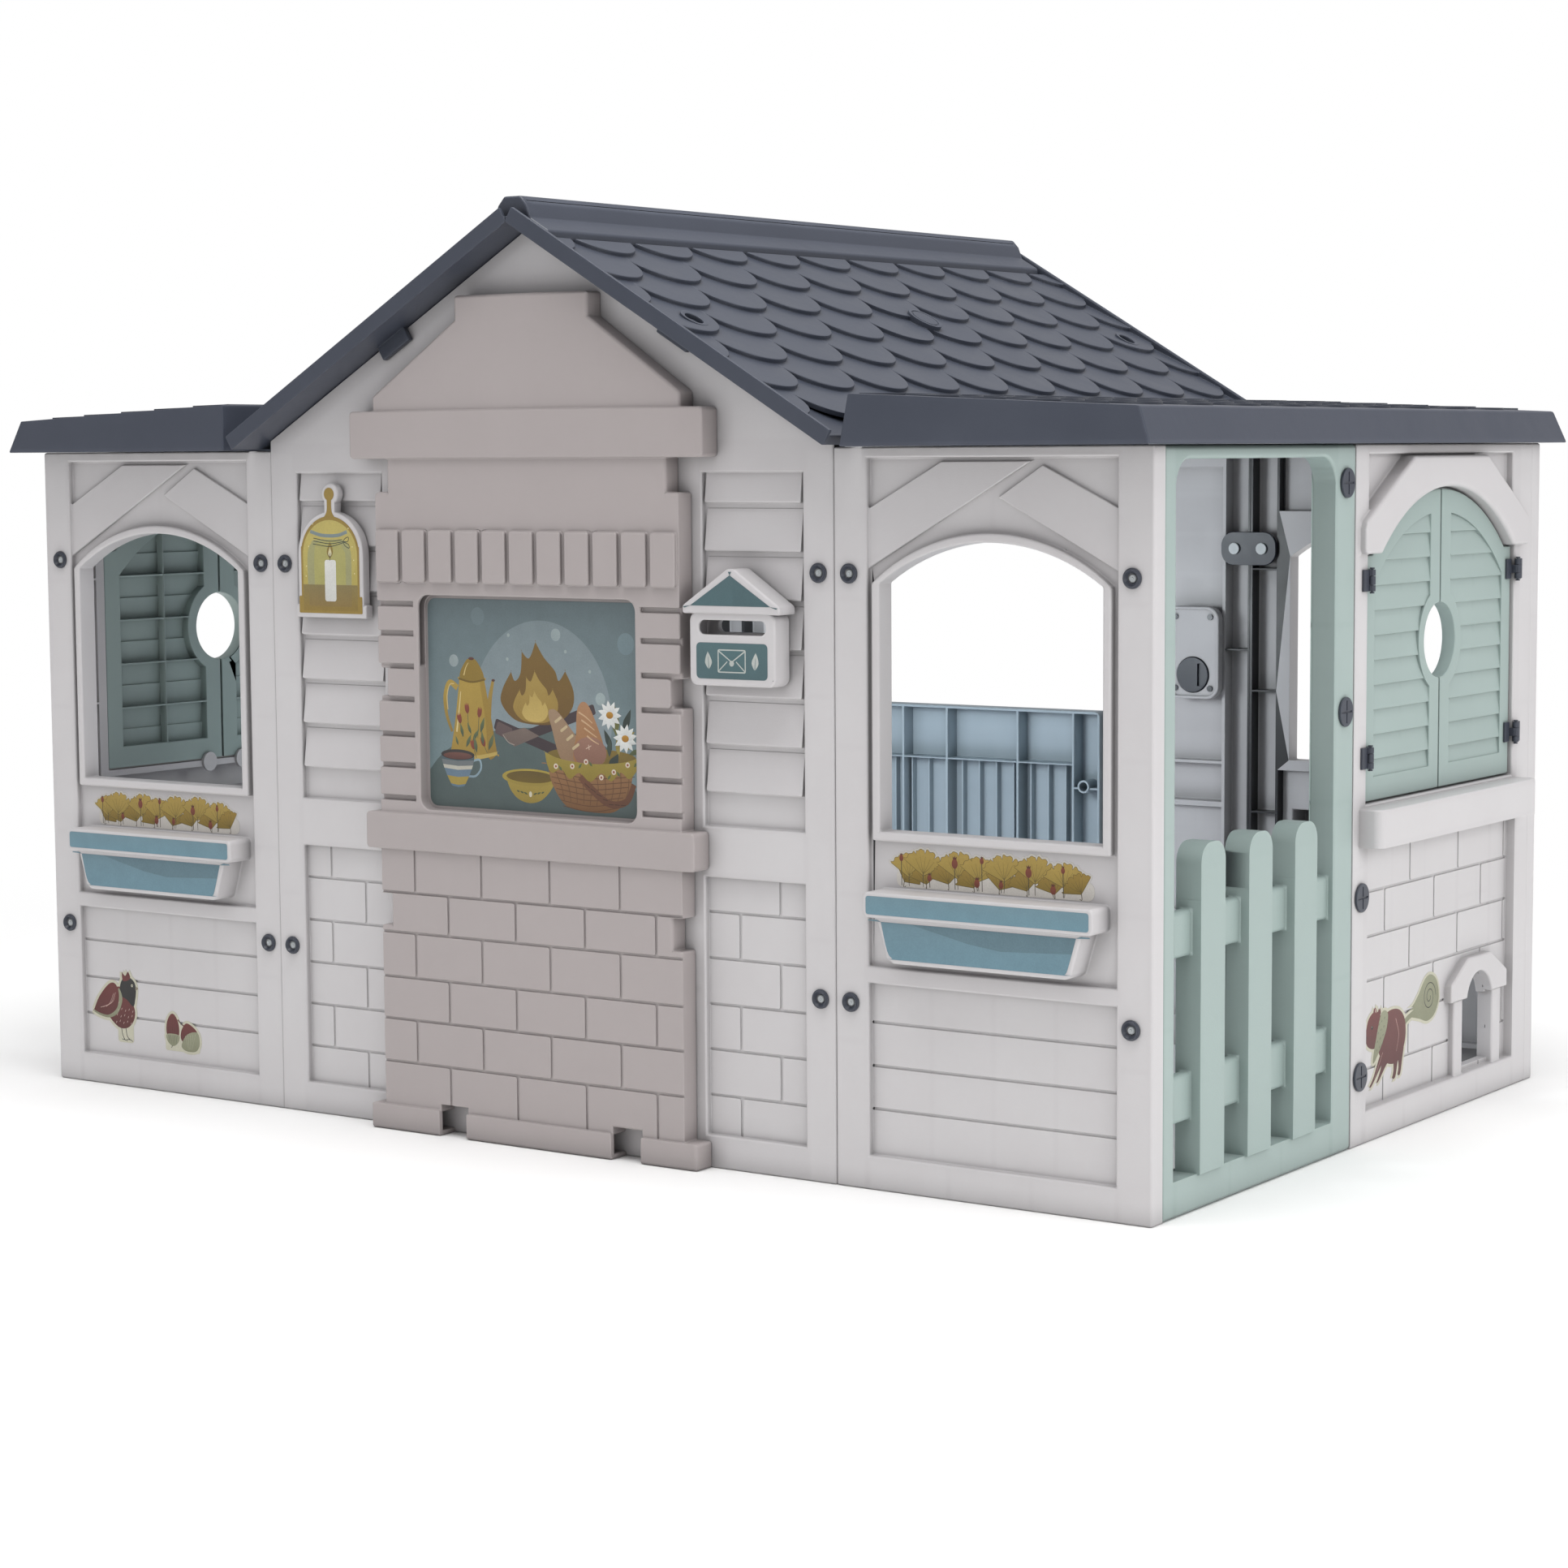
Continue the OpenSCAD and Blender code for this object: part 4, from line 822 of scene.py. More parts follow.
def camp_picture():
    inks = [(oval(13, -14, 103, 114, 60), "#879499", "#7d8b8f")]
    for u, v, r, low, high in [(36, 84, 7, "#94a1a3", "#98a5a6"), (-117, 50, 7, "#8f9b9d", "#96a2a3"),
                               (100, 12, 7, "#98a6a7", "#9caaab"), (-80, 103, 10, "#6f7f83", "#748488"),
                               (137, 76, 12, "#72858b", "#788b90"), (-34, 82, 2, "#9aa6a6", "#9aa6a6"),
                               (50, 65, 2, "#9aa6a6", "#9aa6a6"), (-36, 54, 2, "#9aa6a6", "#9aa6a6"),
                               (85, 43, 2, "#9aa6a6", "#9aa6a6")]:
        inks.append((oval(u, v, r, r * 1.05, 24), low, high))
    inks.append((loop([(-170, -120), (-152, -76), (-110, -46), (-40, -28), (40, -26), (110, -44),
                       (150, -92),
                       (170, -130), (0, -150)], 8), "#4b5857", "#51605f"))
    inks += [(log(-56, -22, 150, 13, -17), "#372e31", "#41363a"),
             (log(-20, -38, 118, 12, 19), "#3a3033", "#463b3e"),
             (log(-54, -26, 24, 15, -20), "#57484a", "#61514f"),
             (loop([(-46, -34), (-46, -34), (-12, -25), (-12, -25), (10, -34), (10, -34), (-27, -48),
                    (-27, -48)], 2), "#665953", "#75675f"),
             stroke([(-44, -35), (-36, -43), (-27, -46)], 1.1, "#9b8f86")]
    inks += [(flame(4, -21, 108, 96), "#6a5128", "#7b6230"), (flame(3, -19, 66, 60), "#94793a", "#a58d4b"),
             (flame(3, -18, 38, 36), "#c0a761", "#b09854")]
    # Coffee pot: spout and handle first, then the body with a lit and a shaded side, then the lid.
    inks += [stroke([(-66, -22), (-63, 6), (-58, 28)], 8.0, "#8d7434", "#a08642", end_width=4.0),
             (oval(-57.5, 28.5, 2.6, 1.6, 14), "#4d2f2a", "#5d3a33"),
             stroke([(-112, 18), (-124, 24), (-131, 8), (-129, -14), (-121, -34)], 7.5, "#8d7333",
                    "#ab9145", end_width=3.5),
             stroke([(-117, 23), (-124, 21), (-128, 8), (-127, -8)], 1.2, "#c9b47c"),
             (loop([(-109, 28), (-109, 28), (-116, -20), (-124, -60), (-124, -60), (-88, -66), (-53, -58),
                    (-53, -58), (-61, -18), (-71, 28), (-71, 28)], 4), "#9b8038", "#aa9044"),
             (loop([(-78, 28), (-71, 28), (-71, 28), (-61, -18), (-53, -58), (-53, -58), (-66, -63),
                    (-70, -20)], 4), "#8c7232", "#9b8139"),
             (loop([(-124, -57), (-124, -57), (-88, -61), (-53, -55), (-53, -55), (-53, -59), (-53, -59),
                    (-88, -66), (-124, -61), (-124, -61)], 4), "#b59d56", "#b59d56"),
             stroke([(-114, -34), (-110, -8), (-107, 14)], 2.4, "#cfbd88", end_width=1.0),
             (loop([(-109, 28), (-109, 28), (-107, 38), (-99, 50), (-94, 53), (-87, 53), (-81, 49),
                    (-73, 37),
                    (-71, 28), (-71, 28), (-90, 25)], 4), "#87702f", "#8f7631"),
             stroke([(-110, 29), (-90, 25.5), (-70, 29)], 2.2, "#6c5723"),
             (oval(-90.5, 53, 4.2, 1.8, 18), "#55332c", "#64423a"),
             stroke([(-102, 33), (-99, 42), (-95, 48)], 1.6, "#cbb67a", end_width=0.8)]
    for u, v, turn, height in [(-97, -12, 8, 34), (-80, -16, -10, 40), (-108, -24, 14, 26),
                               (-88, -54, 16, 16),
                               (-72, -50, 20, 12)]:
        inks.append(stroke([(u + turn * 0.2, v - height * 0.6), (u, v)], 0.8, "#4f5b41"))
        inks.append((tulip(u, v, turn, 1.1), "#74392c", "#8a4734"))
    for u, v, turn, size in [(-104, -40, 20, 17), (-100, -52, -22, 18), (-92, -36, 28, 15),
                             (-90, -44, -30, 18),
                             (-78, -34, -14, 20), (-74, -48, 12, 17), (-66, -54, -18, 22),
                             (-112, -50, 26, 12),
                             (-84, -58, 14, 20)]:
        inks.append((moved(leaf(size, size * 0.26, 1.5), u, v, turn), "#3b4a3e", "#66704b"))
    # Striped cup.
    bands = [("#4d5d63", -62.5, -67), ("#6d7476", -67, -73), ("#b7b5a8", -73, -77.5),
             ("#64798a", -77.5, -86),
             ("#a08c42", -86, -95.5), ("#5f7585", -95.5, -98)]
    inks.append(stroke([(-92, -68), (-80, -66), (-78, -76), (-86, -85), (-97, -86)], 2.6, "#7f95a0",
                       "#8aa0aa"))
    for tone, high, low in bands:
        wide, narrow = cup_half(high), cup_half(low)
        band = points_of([(-113 - wide, high), (-113 - narrow, low), (-113, low - 1.6),
                          (-113 + narrow, low), (-113 + wide, high), (-113, high - 1.6)])
        inks.append((band, tone, tone))
    inks += [(oval(-113, -61, 25.5, 6.2), "#2f2c2c", "#3a3635"),
             (oval(-113, -62.4, 22, 4.2), "#5a3a34", "#6d4a41")]
    # Bowl.
    inks += [(loop([(-40, -84), (-40, -84), (-34, -98), (-22, -109), (-5, -113), (12, -109), (26, -97),
                    (34, -84),
                    (34, -84)], 4), "#8f7c36", "#a08c40"),
             (oval(-4, -83, 42, 10), "#92803a", "#a5923f"), (oval(-4, -82.4, 35.5, 7.0), "#69571f",
                                                            "#5f4f27")]
    for side in (-1, 1):
        for step in range(3):
            inks.append((moved(leaf(7 - step, 2.0), -4 + side * (4 + step * 6), -103 + step * 1.2,
                               -side * 68),
                         "#3f4a35", "#4d5840"))
    inks.append((oval(-4, -102.6, 2.2, 3.4, 14), "#c9c3ae", "#c9c3ae"))
    # Basket: far rim, bread, daisies, woven body, cloth.
    inks += [(oval(86, -54, 64, 9), "#6d5b26", "#7b6830"),
             (loop([(44, -62), (28, -22), (24, -6), (29, -2), (38, -5), (55, -22), (70, -40), (76, -60)],
                   5),
              "#8a6f55", "#9a8269"),
             (loop([(62, -62), (64, -30), (66, -2), (74, 8), (84, 2), (98, -26), (104, -44), (102, -62)],
                   5),
              "#94693f", "#a87f5d"),
             (oval(84, -50, 24, 18), "#7d5a4b", "#946f5f")]
    for i in range(4):
        inks.append((moved(panel(-6, -1.7, 6, 1.7, 1.5), 38 + i * 8.5, -14 - i * 10, 34), "#b8a682",
                     "#c2b08c"))
        inks.append(stroke([(68 + i * 4, -4 - i * 9), (78 + i * 3.4, -9 - i * 9),
                            (88 + i * 3, -16 - i * 8)], 2.0, "#c6a784", end_width=0.9))
    inks += [stroke([(78, -46), (86, -42)], 1.0, "#c3ab98"),
             stroke([(82, -41), (83, -47)], 1.0, "#c3ab98")]
    for u, v, turn, size, low, high in [(122, -30, 6, 36, "#5f6438", "#6c6a3c"),
                                        (132, -26, -18, 30, "#27302d", "#38423b"),
                                        (128, -36, -54, 24, "#8a7a36", "#9a8a43"),
                                        (116, -46, 30, 26, "#2b3531", "#35403a"),
                                        (134, -48, -30, 26, "#7d7338", "#8a7f40"),
                                        (112, -54, 4, 22, "#36423b", "#414d43"),
                                        (140, -50, -66, 20, "#4b5539", "#5a6241"),
                                        (126, -52, 16, 20, "#9a8b45", "#7e7339")]:
        inks.append((moved(leaf(size, size * 0.30, 2), u, v, turn), low, high))
    daisy(inks, 113, -6, 17, 8)
    daisy(inks, 135, -32, 17, 22)
    inks.append((moved(leaf(24, 12, 2), 112, -70, -28), "#262e2b", "#37413b"))
    basket = loop([(22, -66), (22, -66), (28, -88), (44, -110), (62, -117), (100, -119), (122, -115),
                   (138, -98),
                   (146, -72), (150, -66), (150, -66)], 4)
    inks.append((basket, "#73502f", "#8f6a47"))
    for i in range(7):
        inks.append(stroke([(24 + i * 3.4, -74 - i * 6.6), (84, -80 - i * 6.4),
                            (148 - i * 4.2, -75 - i * 6.2)], 0.9, "#5a3c26"))
    for i in range(10):
        u = 32 + i * 12
        inks.append(stroke([(u, -70), (u + 10 - i * 1.3, -92), (u + 14 - i * 2.6, -112 + abs(i - 5))], 0.9,
                           "#5f4129"))
    inks.append(stroke([(70, -78), (88, -94), (112, -108), (136, -104), (147, -84)], 10, "#5f3d2a",
                       "#6b4630", end_width=7))
    for i in range(7):
        inks.append(stroke([(76 + i * 8.6, -86 - min(i, 4) * 5.6), (83 + i * 8.6, -91 - min(i, 4) * 4.4)],
                           1.0, "#452b1e"))
    cloth = [(18, -52), (18, -52), (40, -59), (84, -63), (128, -60), (152, -54), (152, -54), (152, -66),
             (140, -78),
             (128, -71), (114, -82), (100, -73), (84, -84), (68, -74), (54, -82), (42, -71), (28, -76),
             (21, -66)]
    inks.append((loop(cloth, 4), "#86752b", "#998940"))
    for i, (u, v) in enumerate([(34, -68), (58, -67), (78, -61), (100, -78), (118, -71), (138, -62)]):
        inks.append((oval(u, v, 3.2, 3.2, 14), "#cdbfae", "#d6cab9"))
        inks.append((oval(u, v, 1.5, 1.5, 10), "#8b4a35", "#8b4a35"))
        inks.append((moved(leaf(8, 3), u + 9, v - 5 + 3 * (i % 2), 40 - 80 * (i % 2)), "#4c5a38",
                     "#5c6840"))
    return inks


picture_low, picture_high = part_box("fire_picture")
picture_middle = (picture_low + picture_high) / 2
half_u = (picture_high.x - picture_low.x) / 2 / MM
half_v = (picture_high.z - picture_low.z) / 2 / MM


def front_sheet(node, film, base, inks, x, z=0.0, behind=0.0):
    """A sheet for a thin label on the front of the house, on the outer plane of its CAD solid."""
    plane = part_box(node)[0].y + behind + LABEL_BODY - FILM
    return film, base, inks, Vector((x, plane, z)), (1, 0, 0)


def middle_x(node):
    return (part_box(node)[0].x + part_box(node)[1].x) / 2


print_label("fire_picture", [front_sheet(
    "fire_picture", [panel(-half_u, -half_v, half_u, half_v, 11)], ("#72868a", "#68777b"),
    camp_picture(), picture_middle.x, picture_middle.z)])

# %% [markdown]
# ## The lantern, the mailbox and the flower boxes
# The lantern label is a jar with a candle behind glass. Where the maker's word and badge
# were, the mailbox carries a plain envelope, and the lantern nothing. Flower boxes have
# one flat blue film each, with a darker facet that imitates a shadow.

# %% Lantern
lantern_film = [panel(-50.5, 619.5, 50.5, 640, 1.5), panel(-46.5, 622, 46.5, 700, 1),
                oval(0, 690, 46.5, 46.5, 64), loop([(-12, 728), (-4, 742), (-3, 758), (3, 758), (4, 742),
                                                    (12, 728)], 5),
                oval(0, 763, 7.8, 7.8, 30)]
lantern_inks = [
    (panel(-43.5, 653, 43.5, 692, 0.5), "#b3a356", "#b8aa5e"),
                (oval(0, 690, 43.5, 42, 56), "#b8aa5e", "#bfb066"),
    (loop([(-36, 653), (-36, 653), (-36, 690), (-30, 704), (-22, 708), (20, 708), (29, 703), (34, 690),
           (34, 653),
           (34, 653)], 4), "#9c9a72", "#a5a371"),
    (loop([(-25, 653), (-25, 653), (-25, 692), (-18, 705), (12, 706), (22, 696), (25, 688), (25, 653),
           (25, 653)], 4),
     "#a9a463", "#aea96a"),
    (panel(-43.5, 622.5, 43.5, 654, 0.5), "#8f7737", "#8a7b4d"),
                (panel(-34, 628, 34, 654, 0.5), "#8a7442", "#87794f"),
    (panel(-8.6, 634, 9.4, 684, 3.2), "#cfd0cb", "#dfdfd9"),
    (loop([(0, 686), (-4.6, 692), (-3.4, 699), (0.4, 706), (0.4, 706), (4.2, 699), (4.8, 692)], 4),
     "#7f6c34", "#94813d"),
    (loop([(0.2, 688), (-2.6, 692), (0.3, 700), (0.3, 700), (2.8, 692)], 4), "#d2cfb4", "#d8c98e"),
    stroke([(0, 683), (0.4, 692)], 0.8, "#3f3428"),
    stroke([(-31, 718), (-12, 713.5), (12, 713.5), (28, 718)], 4.2, "#7d8a8b", "#84908f"),
]
for line in [[(-26, 710), (0, 706.5), (20, 708.5)], [(-26, 706.5), (0, 703.5), (21, 706)],
             [(-27, 703), (0, 700.2), (21, 704.5)],
             [(21, 706), (25, 710), (30, 711.5), (29, 706.5), (21, 706)],
             [(21, 706), (25, 701), (31, 698.5), (30, 703), (21, 706)]]:
    lantern_inks.append(stroke(line, 0.9, INK))
for u, v in [(-38, 676), (-39, 664), (39, 668), (38, 684), (-27, 727), (30, 722), (-34, 700), (36, 700)]:
    lantern_inks.append((oval(u, v, 0.9, 0.9, 8), "#d9d0a0", "#d9d0a0"))
print_label("lantern_sticker", [front_sheet("lantern_sticker", lantern_film, ("#98803d", "#9a8140"),
                                            lantern_inks, middle_x("lantern_sticker"))])

# %% Mailbox
mail_x = middle_x("mailbox_sticker")
PALE = "#b9beb9"
envelope = [
    (panel(-19, 567, 19, 593, 2), PALE, PALE), (panel(-17.6, 568.4, 17.6, 591.6, 1.2), "#4b686c",
                                                "#4f6d71"),
    (ribbon(points_of([(-17.5, 591), (0, 579), (17.5, 591)]), 1.5), PALE, PALE),
    (ribbon(points_of([(-17.5, 569), (-6, 579.5)]), 1.2), PALE, PALE),
    (ribbon(points_of([(17.5, 569), (6, 579.5)]), 1.2), PALE, PALE),
    (oval(0, 577.4, 3.2, 3.2, 18), PALE, PALE),
]
for side in (-1, 1):
    envelope.append((moved(leaf(20, 9, 1.5), side * 31, 570, 0, 1, side < 0), PALE, PALE))
    envelope.append((ribbon(points_of([(side * 31, 569), (side * 32, 584)]), 1.0, 0.4), "#4f6d71",
                     "#4f6d71"))
gable = loop([(-54, 641), (-54, 641), (54, 641), (54, 641), (0, 675), (0, 675)], 3)
gable_shade = loop([(4, 641), (4, 641), (54, 641), (54, 641), (4, 670), (4, 670)], 2)
print_label("mailbox_sticker", [
    front_sheet("mailbox_sticker", [panel(-48, 560, 48, 600, 5)], ("#4b656a", "#506c70"), envelope,
                mail_x, behind=3 * MM),
    front_sheet("mailbox_sticker", [gable], ("#4c686d", "#4e666b"),
                [(gable_shade, "#4a6469", "#4c666b")], mail_x)])

# %% Flower boxes
PLANTER_HALF = 138
side_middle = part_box("planter_stickers")[1].x - PLANTER_HALF * MM
tray = loop([(-121, 303), (-121, 303), (-113, 272), (-106, 264), (-100, 263), (100, 263), (107, 264),
             (111, 270), (121, 303), (121, 303)], 4)
tray_shade = points_of([(-84, 303), (-10, 287), (30, 282), (118, 286), (121, 303)])
planters = []
for middle in (-side_middle, side_middle):
    planters.append(front_sheet("planter_stickers", [panel(-PLANTER_HALF, 311, PLANTER_HALF, 331, 3)],
                                ("#6b8f9d", "#6d8c98"), [], middle))
    planters.append(front_sheet("planter_stickers", [tray], ("#6a8d9b", "#6c8a96"),
                                [(tray_shade, "#5f7b86", "#5f7b86")], middle, behind=4 * MM))
print_label("planter_stickers", planters)

# %% [markdown]
# ## Leaves and hips over the flower boxes
# A row of fan-shaped leaves with slit edges stands behind each flower box, with red hips
# between them. The film is cut a few millimetres outside the drawing.

# %% Flower labels
def fan(size):
    """A fan leaf: a stalk point below, and a wavy upper edge with short slits."""
    rows = [(0, 0), (0, 0)]
    for step in range(37):
        angle = math.radians(-62 + step * 124 / 36)
        reach = size * (0.97 + 0.03 * math.cos(step * 1.3)) * (0.84 if step in (10, 18, 27) else 1.0)
        rows.append((math.sin(angle) * reach, size * 0.04 + math.cos(angle) * reach * 0.95))
    return loop(rows, 2)


def hip(size):
    return [(moved(oval(0, 4, 2.9, 4.0, 16), 0, 0, 0, size), "#6f3527", "#86442f"),
            (moved(points_of([(-1.6, 7.4), (-2.0, 10), (-0.7, 8.8), (0, 10.6), (0.7, 8.8), (2.0, 10),
                              (1.6, 7.4)]),
                   0, 0, 0, size), "#5d2f23", "#5d2f23")]


def leaf_row():
    inks, film = [], []
    leaves = [(-112, 344, 20, -34), (-106, 349, 27, -4), (-84, 343, 21, 10), (-88, 352, 29, -6),
              (-56, 345, 24, 16),
              (-44, 351, 30, -2), (-24, 343, 22, 24), (-18, 350, 27, -6), (8, 343, 22, -14),
              (14, 352, 29, 6),
              (42, 344, 23, 18), (52, 352, 30, -4), (76, 343, 23, 14), (88, 350, 27, 6), (108, 345, 22, 30)]
    film.append(panel(-122, 338, 124, 358, 8))
    for number, (u, v, size, turn) in enumerate(leaves):
        shape = moved(fan(size), u, v, turn)
        film.append(grown(moved(fan(size * 1.08), u, v - 1, turn), 1.5))
        tones = ("#9c873c", "#b79b4c") if number % 2 else ("#846f2a", "#9d8136")
        inks.append((grown(shape, 0.55), "#5f5022", "#6f5e2a"))
        inks.append((shape, *tones))
        for ray in (-34, -16, 2, 20, 36):
            angle = math.radians(ray - turn)
            tip = (u + math.sin(angle) * size * 0.72, v + math.cos(angle) * size * 0.72)
            inks.append(stroke([(u, v + 2), ((u + tip[0]) / 2, (v + tip[1]) / 2), tip], 0.55, "#6b5a2a",
                               end_width=0.25))
        inks.append(stroke([(u, v + 2), (u + turn * 0.03, v - 6), (u - turn * 0.06, 339.5)], 1.0, "#4d452e",
                           "#5d5334", end_width=0.6))
    for u, v, size in [(-116, 366, 0.9), (-48, 362, 1.35), (-14, 369, 0.85), (44, 358, 1.35),
                       (86, 365, 0.85),
                       (-80, 346, 0.95), (-20, 343, 1.2), (10, 344, 0.95), (74, 342, 1.2)]:
        inks.append(stroke([(u, v + 1), (u + 0.6, 339.5)], 0.9, "#3f3a2c"))
        inks += [(moved(outline, u, v), low, high) for outline, low, high in hip(size)]
        film.append(moved(oval(0, 5, 5.0, 6.6, 20), u, v, 0, size))
    return film, inks


flower_film, flower_inks = leaf_row()
print_label("flower_stickers", [
    front_sheet("flower_stickers", flower_film, ("#cdc9c2", "#d0cdc6"), flower_inks, middle)
    for middle in (-side_middle, side_middle)])

# %% [markdown]
# ## Animals and acorns
# A small bird, two acorns and a squirrel with a scarf are of our own design. They use four
# inks, brick red, black, sage and cream, and their cream film shows all round.

# %% Bird, acorns and squirrel
RED_LOW, RED_HIGH, CREAM, NIGHT = "#582826", "#6b302d", "#c6c4b0", "#1f1f1e"
SAGE_LOW, SAGE_HIGH = "#85876d", "#94967c"


def bird_label():
    body = loop([(78, 104), (90, 122), (104, 128), (120, 118), (130, 100), (128, 86), (118, 76), (104, 74),
                 (92, 80),
                 (80, 92)], 5)
    head = loop([(104, 118), (106, 134), (116, 142), (128, 138), (133, 128), (131, 112), (127, 104),
                 (116, 112)], 5)
    tuft = loop([(110, 136), (108, 148), (108, 148), (114, 143), (119, 150), (119, 150), (123, 140)], 4)
    wing = loop([(56, 94), (56, 94), (66, 112), (84, 130), (96, 131), (102, 118), (98, 100), (84, 90),
                 (70, 90)], 5)
    edge = loop([(54, 93), (54, 93), (66, 88), (84, 86), (100, 94), (108, 112), (102, 126), (98, 112),
                 (90, 100),
                 (74, 94)], 5)
    inks = [stroke([(105, 76), (107, 66), (111, 59)], 1.1, NIGHT),
            stroke([(113, 76), (115, 65), (120, 60)], 1.1, NIGHT),
            stroke([(106, 60), (112, 59), (116, 58)], 0.9, NIGHT),
            stroke([(114, 60), (121, 60), (125, 58)], 0.9, NIGHT),
            (body, RED_LOW, RED_HIGH), (head, NIGHT, "#2a2a28"), (tuft, RED_HIGH, RED_LOW),
            (edge, SAGE_LOW, SAGE_HIGH), (wing, RED_LOW, RED_HIGH),
            (points_of([(132, 131), (138, 128), (132, 125)]), "#8a8270", "#8a8270"),
            (oval(126, 131, 1.9, 1.9, 14), CREAM, CREAM), (oval(126.4, 131, 0.8, 0.8, 10), NIGHT, NIGHT)]
    for shift in (0, 5, 10):
        inks.append(stroke([(68 + shift, 98 + shift * 0.2), (84 + shift * 0.7, 104 + shift * 0.4),
                            (92 + shift * 0.4, 118 + shift * 0.2)], 0.8, "#b99a90", end_width=0.4))
    for i in range(16):
        u, v = 96 + (i % 5) * 6.6 + (i // 5) * 1.7, 80 + (i // 5) * 8 + (i % 2) * 2
        inks.append((ribbon(points_of([(u, v), (u + 1.2, v + 2.6)]), 0.7), "#c7aca2", "#c7aca2"))
    film = [grown(part, 3.6) for part in (body, head, tuft, wing, edge)]
    return film + [panel(99, 56, 127, 80, 4)], inks


def acorn_label():
    left_nut = loop([(187, 72), (186, 86), (191, 97), (197, 101), (203, 97), (208, 86), (207, 72),
                     (197, 68)], 4)
    left_cup = loop([(185.5, 73), (188, 64), (197, 59), (206, 64), (208.5, 73), (197, 75)], 4)
    right_nut = loop([(212, 68), (212, 80), (220, 90), (230, 88), (240, 80), (242, 68), (226, 62)], 4)
    right_cup = loop([(212, 62), (222, 76), (240, 80), (244, 66), (238, 56), (226, 54), (216, 56)], 4)
    inks = [stroke([(206, 94), (214, 88), (222, 84)], 1.8, RED_LOW),
            stroke([(196, 60), (194, 56.5)], 1.2, NIGHT, end_width=0.7),
            (left_nut, RED_LOW, RED_HIGH), (left_cup, SAGE_LOW, SAGE_HIGH), (right_nut, RED_LOW, RED_HIGH),
            (right_cup, SAGE_LOW, SAGE_HIGH)]
    for i in range(5):
        u = 189.5 + i * 3.7
        inks.append(stroke([(u, 77), (u - 0.6, 86), (197 + (u - 197) * 0.45, 96)], 0.6, "#4c2626",
                           end_width=0.3))
        inks.append(stroke([(u, 73), (197 + (u - 197) * 0.75, 62)], 0.7, "#3e4036", end_width=0.3))
        inks.append(stroke([(219 + i * 4.4, 74 + i * 0.9), (224 + i * 1.6, 57)], 0.5, "#a9ab93",
                           end_width=0.3))
    film = [grown(part, 3.2) for part in (left_nut, left_cup, right_nut, right_cup)]
    return film + [panel(184, 53, 244, 80, 3)], inks


def longer(outline):
    """Makes the squirrel's head and body longer, and leaves its tail as it is."""
    u, v = outline.T
    return np.stack([np.where(u < 180, 62 + (u - 68) * 1.28, u), v], axis=1)


def squirrel_label():
    body = loop([(100, 128), (118, 143), (142, 142), (156, 128), (158, 106), (150, 88), (134, 78),
                 (112, 84),
                 (98, 100)], 5)
    head = loop([(72, 132), (70, 118), (76, 108), (90, 104), (102, 112), (106, 130), (100, 144), (88, 148),
                 (77, 142)], 5)
    ears = [moved(leaf(13, 8), 92, 142, 16), moved(leaf(12, 7), 99, 140, -4)]
    legs = [loop([(104, 96), (88, 70), (79, 60), (79, 60), (84, 60), (100, 76), (114, 90)], 4),
            loop([(112, 92), (101, 72), (94, 62), (94, 62), (99, 63), (112, 76), (122, 86)], 4),
            loop([(132, 88), (132, 70), (128, 60), (128, 60), (136, 61), (141, 78), (146, 90)], 4),
            loop([(142, 92), (143, 72), (140, 62), (140, 62), (147, 63), (151, 80), (154, 96)], 4)]
    tail = loop([(150, 112), (160, 122), (182, 128), (216, 122), (240, 116), (262, 122), (274, 140),
                 (268, 162),
                 (250, 172), (232, 168), (214, 152), (196, 140), (172, 134), (154, 126)], 5)
    scarf = loop([(104, 144), (92, 112), (86, 90), (90, 88), (104, 104), (116, 124), (118, 142)], 5)
    inks = [(tail, SAGE_LOW, SAGE_HIGH)]
    turns = np.linspace(0, 4.1 * math.pi, 60)
    coil = np.stack([246 + np.cos(turns) * (19 - turns * 1.25), 145 + np.sin(turns) * (19 - turns * 1.25)],
                    axis=1)
    inks.append((ribbon(coil, 1.1), NIGHT, NIGHT))
    inks += [(leg, "#562d2b", RED_LOW) for leg in legs] + [(ear, RED_LOW, RED_HIGH) for ear in ears]
    inks += [(body, RED_LOW, "#6b3936"), (head, RED_LOW, RED_HIGH), (scarf, SAGE_LOW, SAGE_HIGH),
             (moved(leaf(6, 3), 92.4, 146, 16), "#b79f94", "#b79f94"),
             (oval(84, 130, 2.1, 2.4, 16), NIGHT, NIGHT), (oval(83.4, 131, 0.6, 0.6, 8), CREAM, CREAM),
             (oval(71.4, 120, 1.8, 1.5, 12), "#3c2220", "#3c2220"),
             stroke([(136, 132), (143, 112), (138, 92)], 1.0, "#b48f86", end_width=0.4),
             stroke([(108, 96), (98, 80), (90, 68)], 0.7, "#b48f86", end_width=0.3)]
    for i in range(12):
        u, v = 94 + (i % 3) * 6 + (i // 3) * 1.5, 100 + (i // 3) * 10 + (i % 3) * 3
        inks.append((ribbon(points_of([(u, v), (u + 1.4, v + 2.2)]), 0.8), "#4f5245", "#4f5245"))
    film = [grown(part, 3.4) for part in [body, head, scarf, tail] + ears + legs]
    return [longer(part) for part in film], [(longer(part), low, high) for part, low, high in inks]


